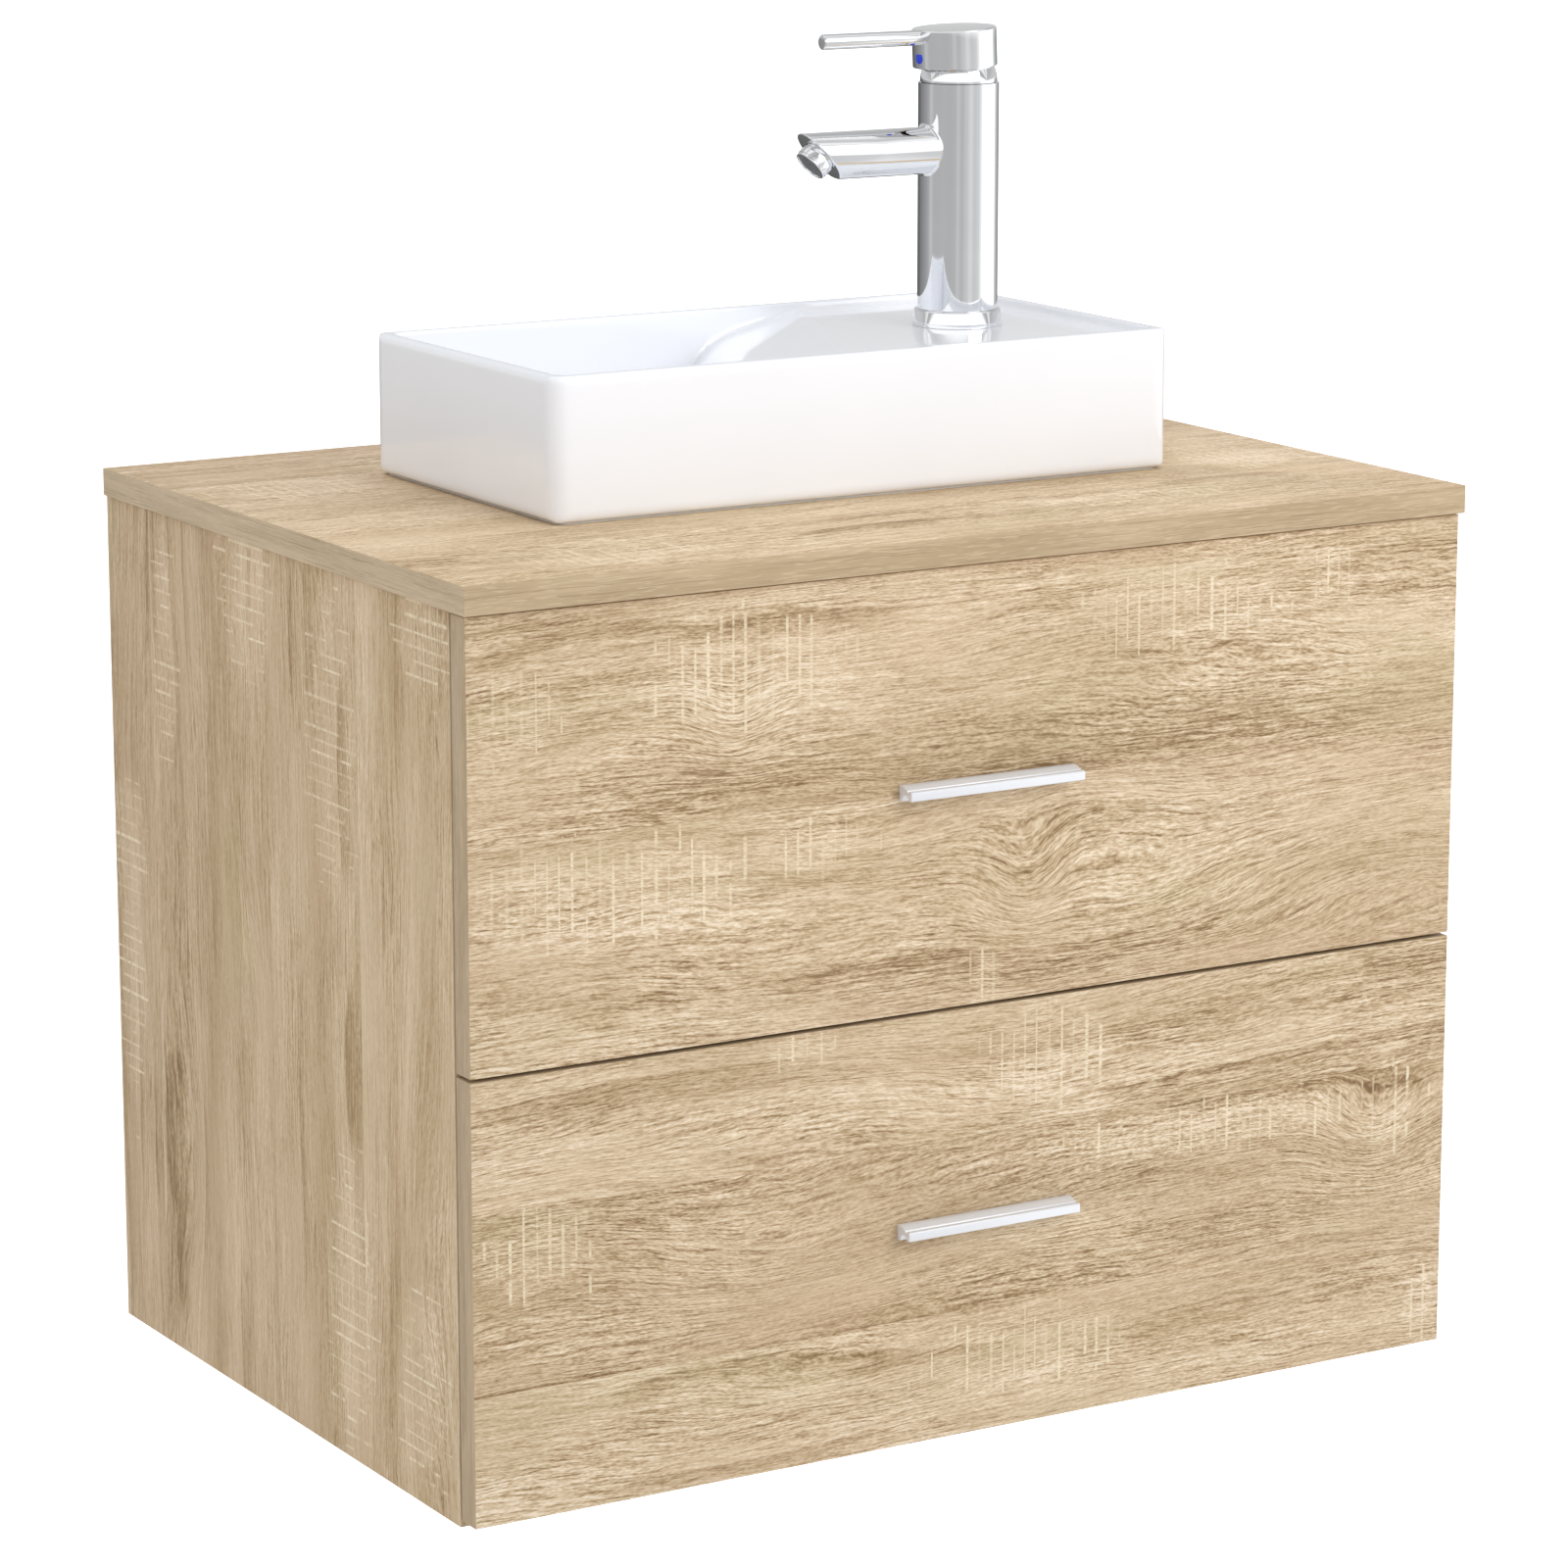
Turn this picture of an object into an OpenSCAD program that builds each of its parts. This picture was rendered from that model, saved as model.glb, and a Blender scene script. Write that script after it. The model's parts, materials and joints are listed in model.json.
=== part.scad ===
// Wall-hung vanity with two drawers and a small vessel sink with a side mixer tap.
// Millimetres. X right, Y back towards the wall, Z up. z = 0 is the cabinet's underside,
// x = 0 its middle, and y = 0 the middle of the depth from the handles to the wall plane.

/* [Cabinet] */
// width of the worktop
worktop_w = 600; // [450:5:900]
// depth of the worktop
worktop_d = 425; // [350:5:500]
// thickness of the worktop
worktop_t = 15; // [12:1:30]
// height of the cabinet under the worktop
cabinet_h = 465; // [400:5:600]
// how far the worktop stands over each cabinet side
side_overhang = 2; // [0:1:10]
// thickness of the cabinet's boards
board_t = 15; // [12:1:19]
// thickness of the drawer fronts
front_t = 15; // [12:1:19]
// setback of the drawer fronts behind the worktop's front edge
front_setback = 3.2; // [0:0.2:10]
// air gap between a closed drawer front and the cabinet
bumper_gap = 1.5; // [1:0.5:4]
// gap between the drawer fronts
front_gap = 2; // [1.5:0.5:4]
// gap between the upper front and the worktop
top_gap = 1; // [0.8:0.1:4]
// height of the lower front's bottom edge over the cabinet's underside
front_lift = 3.9; // [0:0.1:10]

/* [Drawers] */
// length of the runners and of the drawer boxes
runner_len = 350; // [250:50:400]
// height of the drawer boxes
box_h = 150; // [100:10:180]
// thickness of the drawer boxes' sides and backs
box_t = 12; // [10:1:16]
// thickness of the drawer bottoms
bottom_t = 8; // [4:1:12]
// inner width of the notch round the trap in the upper drawer
notch_w = 120; // [90:5:160]

/* [Handles] */
// length of a handle
handle_len = 105; // [90:1:200]
// distance between a handle's two screws
handle_hole_pitch = 96; // [64:32:160]
// how far a handle stands out of the drawer front
handle_dep = 12; // [12:0.5:30]

/* [Basin] */
// outer width of the basin
basin_w = 378.6; // [300:0.2:500]
// outer depth of the basin
basin_d = 205.3; // [180:0.1:400]
// height of the basin's rim over the worktop
basin_h = 76.5; // [60:0.5:140]
// distance of the basin's middle to the right of the cabinet's middle
basin_x = 7.9; // [-60:0.1:60]
// distance of the basin's middle from the worktop's front edge
basin_y = 230.3; // [150:0.1:260]
// width of the rim
rim_w = 8; // [6:0.5:15]
// how far the tap deck lies below the rim
deck_drop = 4.5; // [2:0.5:10]
// depth of the bowl below the rim
bowl_depth = 58; // [40:1:100]
// angle of the deck's edge across the bowl
deck_angle = 21.2; // [0:0.1:30]
// distance of the drain from the cabinet's middle, to the left
drain_left = 100; // [20:1:120]

/* [Tap] */
// distance of the tap's axis from the cabinet's middle, to the right
tap_x = 125; // [80:1:160]
// diameter of the tap's body
tap_dia = 44; // [36:0.5:52]
// height of the tap's body over the deck
tap_h = 132.5; // [90:0.5:200]
// height of the spout's axis over the deck
spout_h = 96.3; // [60:0.1:150]
// diameter of the spout
spout_dia = 25.6; // [18:0.2:32]
// reach of the spout's end from the tap's axis
spout_reach = 88.7; // [60:0.1:140]
// length of the lever from the tap's axis
lever_len = 87; // [50:1:120]

/* [Hidden] */
$fn = 96;
top_z = cabinet_h + worktop_t;
handle_out = handle_dep - front_setback;
total_d = worktop_d + handle_out;
edge_y = handle_out - total_d / 2;      // the worktop's front edge
side_x = worktop_w / 2 - side_overhang; // the cabinet sides' outer faces
in_x = side_x - board_t;                // the cabinet sides' inner faces
side_y = front_setback + front_t + bumper_gap;
rail_y = worktop_d - 35;                // front face of the two back rails
front_w = 2 * side_x;
front_h = (cabinet_h - front_gap - top_gap - front_lift) / 2;
up_z = front_lift + front_h + front_gap;
runner_t = 12.7;
box_x = in_x - runner_t;                // the drawer boxes' outer faces
box_y = front_setback + front_t;
up_box_z = 262;
low_box_z = 22;
up_run_z = up_box_z + 40;
low_run_z = low_box_z + 40;
handle_rise = 1.6;
drain_x = -drain_left;
notch_y = 170;                          // front of the notch's inside
deck_z = basin_h - deck_drop;
bowl_z = basin_h - bowl_depth;
seal_t = 0.8;
slope_run = 36;                         // the gentle part of the slope beside the tap deck
slope_a = 14.3;
slope_b = 52;
slope_c1 = [-slope_run + 45 * sin(slope_a), -slope_run * tan(slope_a) - 45 * cos(slope_a)];
slope_end = [slope_c1[0] - 45 * sin(slope_b), slope_c1[1] + 45 * cos(slope_b)];
slope_c2y = 28 - deck_z + bowl_z;
slope_c2 = [slope_end[0] - (slope_end[1] - slope_c2y + 28 * cos(slope_b)) / tan(slope_b)
  - 28 * sin(slope_b), slope_c2y];
tap_r = tap_dia / 2;
foot_h = 9.4;
pivot_z = deck_z + tap_h + 0.5;         // the lever's ball centre
cap_tilt = -2.5;
oak = [0.80, 0.69, 0.54];
core = [0.90, 0.88, 0.84];
steel = [0.72, 0.73, 0.75];
chrome = [0.83, 0.84, 0.86];
ceramic = [0.96, 0.96, 0.96];
plastic = [0.93, 0.93, 0.93];
alu = [0.88, 0.88, 0.89];
rubber = [0.12, 0.12, 0.12];

// frames: y from the worktop's front edge, z from the underside or from the worktop's top
module in_cabinet() { translate([0, edge_y, 0]) children(); }
module on_top() { translate([0, edge_y, top_z]) children(); }
module at_drain() { on_top() translate([drain_x, basin_y, 0]) children(); }
module at_tap() { on_top() translate([tap_x, basin_y, 0]) children(); }

module tube(r1, r2, z1, z2) {
  difference() {
    translate([0, 0, z1]) cylinder(r = r2, h = z2 - z1);
    translate([0, 0, z1 - 1]) cylinder(r = r1, h = z2 - z1 + 2);
  }
}

module rounded_rect(w, d, r) {
  union() {
    square([w - 2 * r, d], center = true);
    square([w, d - 2 * r], center = true);
    for (sx = [-1, 1], sy = [-1, 1])
      translate([sx * (w / 2 - r), sy * (d / 2 - r)]) circle(r = r);
  }
}

// ---- cabinet ----

// one cam and its bolt, in a level board whose underside is at z
module level_fitting(s, y, z, e = 0) {
  translate([s * (in_x - 34), y, z - e]) cylinder(r = 7.5, h = 12.5 + e, $fn = 48);
  translate([s * (in_x - 34), y, z + 7.5]) rotate([0, s * 90, 0])
    cylinder(r = 3, h = 45, $fn = 32);
}
// the same in an upright board whose front face is at y
module upright_fitting(s, y, z, e = 0) {
  translate([s * (in_x - 34), y - e, z]) rotate([-90, 0, 0])
    cylinder(r = 7.5, h = 12.5 + e, $fn = 48);
  translate([s * (in_x - 34), y + 7.5, z]) rotate([0, s * 90, 0])
    cylinder(r = 3, h = 45, $fn = 32);
}
module fittings(e = 0) {
  for (s = [-1, 1]) {
    for (y = [side_y + 40, rail_y - 50]) level_fitting(s, y, 0, e);
    level_fitting(s, side_y + 35, cabinet_h - board_t, e);
    upright_fitting(s, rail_y, cabinet_h - 47, e);
    upright_fitting(s, rail_y, board_t + 30, e);
  }
}

module worktop() {
  color(oak) in_cabinet() difference() {
    translate([-worktop_w / 2, 0, cabinet_h]) cube([worktop_w, worktop_d, worktop_t]);
    translate([drain_x, basin_y, cabinet_h - 1]) cylinder(r = 35, h = worktop_t + 2);
    translate([tap_x, basin_y, cabinet_h - 1]) cylinder(r = 24, h = worktop_t + 2);
  }
}
module side_panel(s) {
  color(oak) in_cabinet() difference() {
    translate([s > 0 ? in_x : -side_x, side_y, 0])
      cube([board_t, worktop_d - side_y, cabinet_h]);
    fittings();
  }
}
module left_side() { side_panel(-1); }
module right_side() { side_panel(1); }
module bottom_panel() {
  color(oak) in_cabinet() difference() {
    translate([-in_x, side_y, 0]) cube([2 * in_x, rail_y + board_t - side_y, board_t]);
    fittings(1);
  }
}
module front_rail() {
  color(oak) in_cabinet() difference() {
    translate([-in_x, side_y, cabinet_h - board_t]) cube([2 * in_x, 70, board_t]);
    fittings(1);
  }
}
module back_rail() {
  color(oak) in_cabinet() difference() {
    translate([-in_x, rail_y, cabinet_h - 55]) cube([2 * in_x, board_t, 55]);
    for (s = [-1, 1])
      translate([s > 0 ? in_x - 27 : -in_x - 1, rail_y - 1, cabinet_h - 37])
        cube([28, board_t + 2, 38]);
    fittings(1);
  }
}
module lower_back_rail() {
  color(oak) in_cabinet() difference() {
    translate([-in_x, rail_y, board_t]) cube([2 * in_x, board_t, 60]);
    for (s = [-1, 1])
      translate([s * 180, rail_y - 1, board_t + 30]) rotate([-90, 0, 0])
        cylinder(r = 3, h = board_t + 2, $fn = 48);
    fittings(1);
  }
}
module cam_fittings() { color(steel) in_cabinet() fittings(); }

// concealed hanger: a box on the side panel with a hook through the back rail's notch
module hanger(s) {
  color(plastic) in_cabinet() translate([s * in_x, 0, 0]) mirror([s > 0 ? 1 : 0, 0, 0])
    difference() {
      union() {
        translate([0, rail_y - 45, cabinet_h - 50]) cube([22, 45, 46]);
        translate([6, rail_y - 5, cabinet_h - 32]) cube([5, 36, 24]);
        translate([6, rail_y + 27, cabinet_h - 44]) cube([5, 4, 20]);
      }
      for (z = [13, 34])
        translate([12, rail_y - 46, cabinet_h - 50 + z]) rotate([-90, 0, 0])
          cylinder(r = 4, h = 7, $fn = 32);
    }
}
module left_hanger() { hanger(-1); }
module right_hanger() { hanger(1); }
module bumpers() {
  color(plastic) in_cabinet()
    for (s = [-1, 1], z = [24, up_z - 24, up_z + 20, cabinet_h - 24])
      translate([s * (side_x - board_t / 2), side_y - 1.2, z]) rotate([-90, 0, 0])
        cylinder(r = 4, h = 1.2, $fn = 32);
}

// ---- runners: three nested channels, each x counted inwards from the cabinet side ----
module channel(s, z, x1, x2, web_first, h) {
  t = 1.2;
  w = x2 - x1;
  in_cabinet() translate([s * in_x, side_y + 3, z]) mirror([s > 0 ? 1 : 0, 0, 0])
    union() {
      translate([web_first ? x1 : x2 - t, 0, -h / 2]) cube([t, runner_len - 5, h]);
      for (k = [-h / 2, h / 2 - t]) translate([x1, 0, k]) cube([w, runner_len - 5, t]);
    }
}
module outer_runner(s, z) { color(steel) channel(s, z, 0, 9, true, 45); }
module middle_runners(z) {
  color(steel) for (s = [-1, 1]) channel(s, z, 3.2, 10.4, true, 36);
}
module inner_runner(s, z) { color(steel) channel(s, z, 6, runner_t, false, 25); }
module upper_left_outer_runner() { outer_runner(-1, up_run_z); }
module upper_right_outer_runner() { outer_runner(1, up_run_z); }
module lower_left_outer_runner() { outer_runner(-1, low_run_z); }
module lower_right_outer_runner() { outer_runner(1, low_run_z); }
module upper_middle_runners() { middle_runners(up_run_z); }
module lower_middle_runners() { middle_runners(low_run_z); }
module upper_left_inner_runner() { inner_runner(-1, up_run_z); }
module upper_right_inner_runner() { inner_runner(1, up_run_z); }
module lower_left_inner_runner() { inner_runner(-1, low_run_z); }
module lower_right_inner_runner() { inner_runner(1, low_run_z); }

// ---- drawers ----
notch_x1 = drain_x - notch_w / 2;
notch_x2 = drain_x + notch_w / 2;

module bottom_board(z) {
  translate([-box_x + box_t - 6, box_y - 5, z + 10])
    cube([2 * (box_x - box_t + 6), runner_len + 5, bottom_t]);
}
module notch_space(z, wall, e) {
  translate([notch_x1 - wall, notch_y - wall, z - e])
    cube([notch_w + 2 * wall, runner_len, box_h + 2 * e]);
}
module front_panel(z0, box_z) {
  hz = z0 + front_h / 2 + handle_rise;
  color(oak) in_cabinet() difference() {
    translate([-side_x, front_setback, z0]) cube([front_w, front_t, front_h]);
    for (s = [-1, 1])
      translate([s * handle_hole_pitch / 2, front_setback - 1, hz]) rotate([-90, 0, 0])
        cylinder(r = 2, h = front_t + 2, $fn = 32);
    bottom_board(box_z);
  }
}
module box_side(s, z) {
  color(core) in_cabinet() difference() {
    translate([s > 0 ? box_x - box_t : -box_x, box_y, z]) cube([box_t, runner_len, box_h]);
    bottom_board(z);
  }
}
module back_board(z) {
  translate([-box_x + box_t, box_y + runner_len - box_t, z + 10 + bottom_t])
    cube([2 * (box_x - box_t), box_t, box_h - 10 - bottom_t]);
}

// handle bar: a tall back flange, a web with a groove, and a lower front flange
module handle(z0) {
  hz = z0 + front_h / 2 + handle_rise;
  d = handle_dep;
  color(alu) in_cabinet() difference() {
    translate([-handle_len / 2, front_setback, hz]) rotate([90, 0, 90])
      linear_extrude(height = handle_len)
        polygon([[0, -4], [0, 3.6], [-0.4, 4], [-3.4, 4], [-4.2, 3.8], [2.6 - d + 1.6, 2.4],
          [2.6 - d + 1.2, 1.3], [3.2 - d, 1.3], [2.8 - d, 2.2], [0.5 - d, 2.2],
          [-d, 1.7], [-d, -2.3], [0.5 - d, -2.8], [2.2 - d, -2.8], [2.9 - d, -2.2],
          [4 - d, -0.7], [5.5 - d, -0.2], [-6, -0.2], [-4.6, -0.7], [-3.4, -2.6],
          [-3.1, -3.6], [-2.7, -4]]);
    for (s = [-1, 1])
      translate([s * handle_hole_pitch / 2, front_setback + 1, hz]) rotate([90, 0, 0])
        cylinder(r = 2, h = 3.8, $fn = 32);
  }
}
module handle_screws(z0) {
  hz = z0 + front_h / 2 + handle_rise;
  color(steel) in_cabinet() for (s = [-1, 1])
    translate([s * handle_hole_pitch / 2, 0, hz]) difference() {
      union() {
        translate([0, front_setback - 2.6, 0]) rotate([-90, 0, 0])
          cylinder(r = 2, h = front_t + 2.6, $fn = 32);
        translate([0, box_y, 0]) rotate([-90, 0, 0]) cylinder(r = 4, h = 2.6, $fn = 32);
      }
      translate([-3, box_y + 1.8, -0.5]) cube([6, 2, 1]);
      translate([-0.5, box_y + 1.8, -3]) cube([1, 2, 6]);
    }
}
module upper_front() { front_panel(up_z, up_box_z); }
module upper_box_left() { box_side(-1, up_box_z); }
module upper_box_right() { box_side(1, up_box_z); }
module upper_box_back() {
  color(core) in_cabinet() difference() {
    back_board(up_box_z);
    notch_space(up_box_z, box_t, 1);
  }
}
module upper_notch_walls() {
  color(core) in_cabinet() intersection() {
    difference() {
      notch_space(up_box_z, box_t, 0);
      notch_space(up_box_z, 0, 1);
    }
    translate([-box_x, box_y, up_box_z]) cube([2 * box_x, runner_len, box_h]);
  }
}
module upper_bottom() {
  color(core) in_cabinet() difference() {
    bottom_board(up_box_z);
    notch_space(up_box_z, box_t, 1);
  }
}
module upper_handle() { handle(up_z); }
module upper_handle_screws() { handle_screws(up_z); }
module lower_front() { front_panel(front_lift, low_box_z); }
module lower_box_left() { box_side(-1, low_box_z); }
module lower_box_right() { box_side(1, low_box_z); }
module lower_box_back() { color(core) in_cabinet() back_board(low_box_z); }
module lower_bottom() { color(core) in_cabinet() bottom_board(low_box_z); }
module lower_handle() { handle(front_lift); }
module lower_handle_screws() { handle_screws(front_lift); }

// ---- basin ----

// side view of a block whose lower and upper edges are rounded
module block_profile(w, z1, z2, rb, rt) {
  union() {
    translate([-w / 2, z1 + rb]) square([w, z2 - z1 - rb - rt]);
    translate([-w / 2 + rb, z1]) square([w - 2 * rb, rb + 1]);
    translate([-w / 2 + rt, z2 - rt - 1]) square([w - 2 * rt, rt + 1]);
    for (s = [-1, 1]) {
      translate([s * (w / 2 - rb), z1 + rb]) circle(r = rb, $fn = 64);
      translate([s * (w / 2 - rt), z2 - rt]) circle(r = rt, $fn = 64);
    }
  }
}
module rounded_block(w, d, z1, z2, rc, rb, rt) {
  intersection() {
    translate([0, 0, z1 - 1]) linear_extrude(height = z2 - z1 + 2) rounded_rect(w, d, rc);
    translate([0, d / 2 + 1, 0]) rotate([90, 0, 0]) linear_extrude(height = d + 2)
      block_profile(w, z1, z2, rb, rt);
    translate([-w / 2 - 1, 0, 0]) rotate([90, 0, 90]) linear_extrude(height = w + 2)
      block_profile(d, z1, z2, rb, rt);
  }
}
function arc_pts(cx, cy, r, a1, a2, n) =
  [for (i = [0:n]) [cx + r * cos(a1 + (a2 - a1) * i / n), cy + r * sin(a1 + (a2 - a1) * i / n)]];

module bowl_space() {
  r = 28;
  hx = basin_w / 2 - rim_w;
  hy = basin_d / 2 - rim_w;
  top = deck_z + 1;
  intersection() {
    // front and back walls run down into the floor
    translate([-hx - 1, 0, 0]) rotate([90, 0, 90]) linear_extrude(height = 2 * hx + 2)
      union() {
        translate([-hy + r, bowl_z]) square([2 * (hy - r), top - bowl_z]);
        translate([-hy, bowl_z + r]) square([2 * hy, top - bowl_z - r]);
        for (s = [-1, 1]) translate([s * (hy - r), bowl_z + r]) circle(r = r);
      }
    // left wall
    translate([0, hy + 1, 0]) rotate([90, 0, 0]) linear_extrude(height = 2 * hy + 2)
      union() {
        translate([-hx + r, bowl_z]) square([2 * hx, top - bowl_z]);
        translate([-hx, bowl_z + r]) square([2 * hx, top - bowl_z - r]);
        translate([-hx + r, bowl_z + r]) circle(r = r);
      }
    // the slope up to the tap deck, its edge set askew
    translate([34, 0, 0]) rotate([0, 0, -deck_angle]) translate([0, 200, 0])
      rotate([90, 0, 0]) linear_extrude(height = 400)
        polygon(concat([[0, top + 1], [0, deck_z]],
          arc_pts(slope_c1[0], deck_z + slope_c1[1], 45, 90 + slope_a, 90 + slope_b, 8),
          arc_pts(slope_c2[0], deck_z + slope_c2[1], 28, slope_b - 90, -90, 8),
          [[-400, bowl_z], [-400, top + 1]]));
  }
}
module basin() {
  color(ceramic) on_top() translate([basin_x, basin_y, 0]) difference() {
    rounded_block(basin_w, basin_d, seal_t, basin_h, 10, 4.5, 3);
    // shallow recess of the whole inside down to the tap deck
    translate([0, 0, deck_z]) linear_extrude(height = deck_drop + 1)
      rounded_rect(basin_w - 2 * rim_w, basin_d - 2 * rim_w, 6);
    bowl_space();
    // hollow underside, deep below the tap deck
    translate([0, 0, -1]) linear_extrude(height = bowl_z - 10 + 1)
      rounded_rect(basin_w - 19, basin_d - 19, 6);
    translate([basin_w / 2 - 9.5 - 90, -basin_d / 2 + 9.5, -1])
      cube([90, basin_d - 19, deck_z - 10 + 1]);
    // tap hole, drain hole and the flange's seat
    translate([tap_x - basin_x, 0, deck_z - 12]) cylinder(r = 17.5, h = 14);
    translate([drain_x - basin_x, 0, -1]) cylinder(r = 22.5, h = bowl_z + 2);
    translate([drain_x - basin_x, 0, bowl_z - 3]) cylinder(r = 32, h = 4);
  }
}
module basin_seal() {
  color(plastic) on_top() translate([basin_x, basin_y, 0]) linear_extrude(height = seal_t)
    difference() {
      rounded_rect(basin_w - 9.4, basin_d - 9.4, 5.3);
      rounded_rect(basin_w - 18, basin_d - 18, 5);
    }
}

// ---- waste and trap ----
module waste_body() {
  color(chrome) at_drain() difference() {
    union() {
      translate([0, 0, bowl_z - 3]) cylinder(r = 31.5, h = 2.6);
      translate([0, 0, bowl_z - 10]) cylinder(r = 22.2, h = 8);
      translate([0, 0, -50]) cylinder(r = 20, h = bowl_z + 42);
    }
    translate([0, 0, bowl_z - 5]) cylinder(r = 21, h = 6);
    translate([0, 0, -4]) cylinder(r = 17.5, h = bowl_z + 4);
    translate([0, 0, -51]) cylinder(r = 17.5, h = 44);
    difference() {
      translate([0, 0, -8]) cylinder(r = 17.5, h = 5);
      for (a = [0, 120, 240]) rotate([0, 0, a]) translate([0, -1.5, -8]) cube([19, 3, 5]);
      translate([0, 0, -8]) cylinder(r = 6, h = 5);
    }
    translate([0, 0, -9]) cylinder(r = 3.05, h = 7);
  }
}
module waste_gasket() { color(rubber) at_drain() tube(22.5, 31, bowl_z - 13, bowl_z - 10); }
module waste_nut() {
  color(plastic) at_drain() difference() {
    tube(20, 30, -1, bowl_z - 13);
    for (a = [0:60:300]) rotate([0, 0, a]) translate([33, 0, -2])
      cylinder(r = 5, h = bowl_z, $fn = 32);
  }
}
module waste_plug() {
  color(chrome) at_drain() union() {
    translate([0, 0, bowl_z - 4.7]) cylinder(r = 20.6, h = 3.7);
    intersection() {
      translate([0, 0, bowl_z - 1.1]) cylinder(r = 20.6, h = 3);
      translate([0, 0, bowl_z - 1 - 83.6]) sphere(r = 86.1);
    }
    translate([0, 0, -16]) cylinder(r = 3, h = bowl_z + 13, $fn = 48);
  }
}
module trap_body() {
  color(plastic) at_drain() difference() {
    union() {
      translate([0, 0, -78]) cylinder(r = 23.5, h = 36);
      translate([0, 0, -150]) cylinder(r = 26, h = 76);
      translate([0, 0, -100]) rotate([-90, 0, 0]) cylinder(r = 18.5, h = 56);
    }
    translate([0, 0, -80]) cylinder(r = 20, h = 40);
    translate([0, 0, -151]) cylinder(r = 23, h = 73);
    translate([0, 0, -100]) rotate([-90, 0, 0]) cylinder(r = 16, h = 58);
  }
}
module trap_cup() {
  color(plastic) at_drain() difference() {
    union() {
      translate([0, 0, -186]) cylinder(r = 30, h = 58);
      translate([0, 0, -192]) cylinder(r1 = 24, r2 = 30, h = 6);
    }
    translate([0, 0, -186]) cylinder(r = 26, h = 60);
    for (a = [0:30:330]) rotate([0, 0, a]) translate([31.4, 0, -150])
      cylinder(r = 2.4, h = 30, $fn = 24);
  }
}
module trap_nut(r1, r2, h) {
  difference() {
    tube(r1, r2, 0, h);
    for (a = [0:45:315]) rotate([0, 0, a]) translate([r2 + 1.4, 0, 4])
      cylinder(r = 2.6, h = h, $fn = 24);
  }
}
module trap_nuts() {
  color(plastic) at_drain() {
    translate([0, 0, -64]) trap_nut(23.5, 29, 22);
    translate([0, 0, -100]) rotate([-90, 0, 0]) translate([0, 0, 36]) trap_nut(18.5, 24, 20);
  }
}
module trap_outlet_pipe() {
  color(plastic) at_drain() translate([0, 0, -100]) rotate([-90, 0, 0]) difference() {
    union() {
      translate([0, 0, 30]) cylinder(r = 15.8, h = 29);
      translate([0, 0, 58]) cylinder(r = 16, h = worktop_d - basin_y - 58);
    }
    translate([0, 0, 29]) cylinder(r = 14, h = worktop_d);
  }
}

// ---- tap ----
module tap_body() {
  color(chrome) at_tap() difference() {
    translate([0, 0, deck_z + foot_h]) cylinder(r = tap_r, h = tap_h - foot_h);
    translate([0, 0, deck_z + 86]) cylinder(r = tap_r - 4, h = tap_h);
    translate([0, 0, deck_z + spout_h]) rotate([0, -90, 0]) cylinder(r = 8.5, h = 40);
    // two threaded inlets and the stud's hole in the underside
    for (s = [-1, 1]) {
      translate([-6, s * 8.5, deck_z + foot_h - 1]) cylinder(r = 4.5, h = 15, $fn = 48);
      translate([-6, s * 8.5, deck_z + foot_h]) cylinder(r = 3.2, h = 80, $fn = 48);
    }
    translate([10, 0, deck_z + foot_h - 1]) cylinder(r = 4, h = 19, $fn = 48);
  }
}
// the foot: a flared ring between the column and the deck, open in the middle
module tap_base_ring() {
  color(chrome) at_tap() translate([0, 0, deck_z]) rotate_extrude()
    polygon([[17, 0], [tap_r + 2.6, 0], [tap_r + 2.8, 0.4], [tap_r + 2.7, 2.2],
      [tap_r + 1.4, foot_h - 1], [tap_r + 0.9, foot_h - 0.2], [tap_r + 0.2, foot_h], [17, foot_h]]);
}
module tap_spout() {
  color(chrome) at_tap() translate([0, 0, deck_z + spout_h]) difference() {
    rotate([0, -90, 0]) cylinder(r = spout_dia / 2, h = spout_reach + 20);
    translate([-spout_reach, 0, 0]) rotate([0, 48, 0]) translate([-50, -25, -50])
      cube([100, 50, 50]);
    rotate([0, -90, 0]) cylinder(r = 8.5, h = spout_reach + 20);
    translate([0, 0, -60]) cylinder(r = tap_r, h = 120);
  }
}
module tap_aerator() {
  color(chrome) at_tap() translate([-spout_reach, 0, deck_z + spout_h]) rotate([0, -132, 0])
    difference() {
      union() {
        cylinder(r = 9.7, h = 7.5);
        translate([0, 0, -3]) cylinder(r = 7, h = 4);
      }
      translate([0, 0, 6.7]) cylinder(r = 8.4, h = 2);
    }
}
module tap_cartridge() {
  color(plastic) at_tap() translate([0, 0, deck_z + 86]) cylinder(r = 17.5, h = 28);
}
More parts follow.
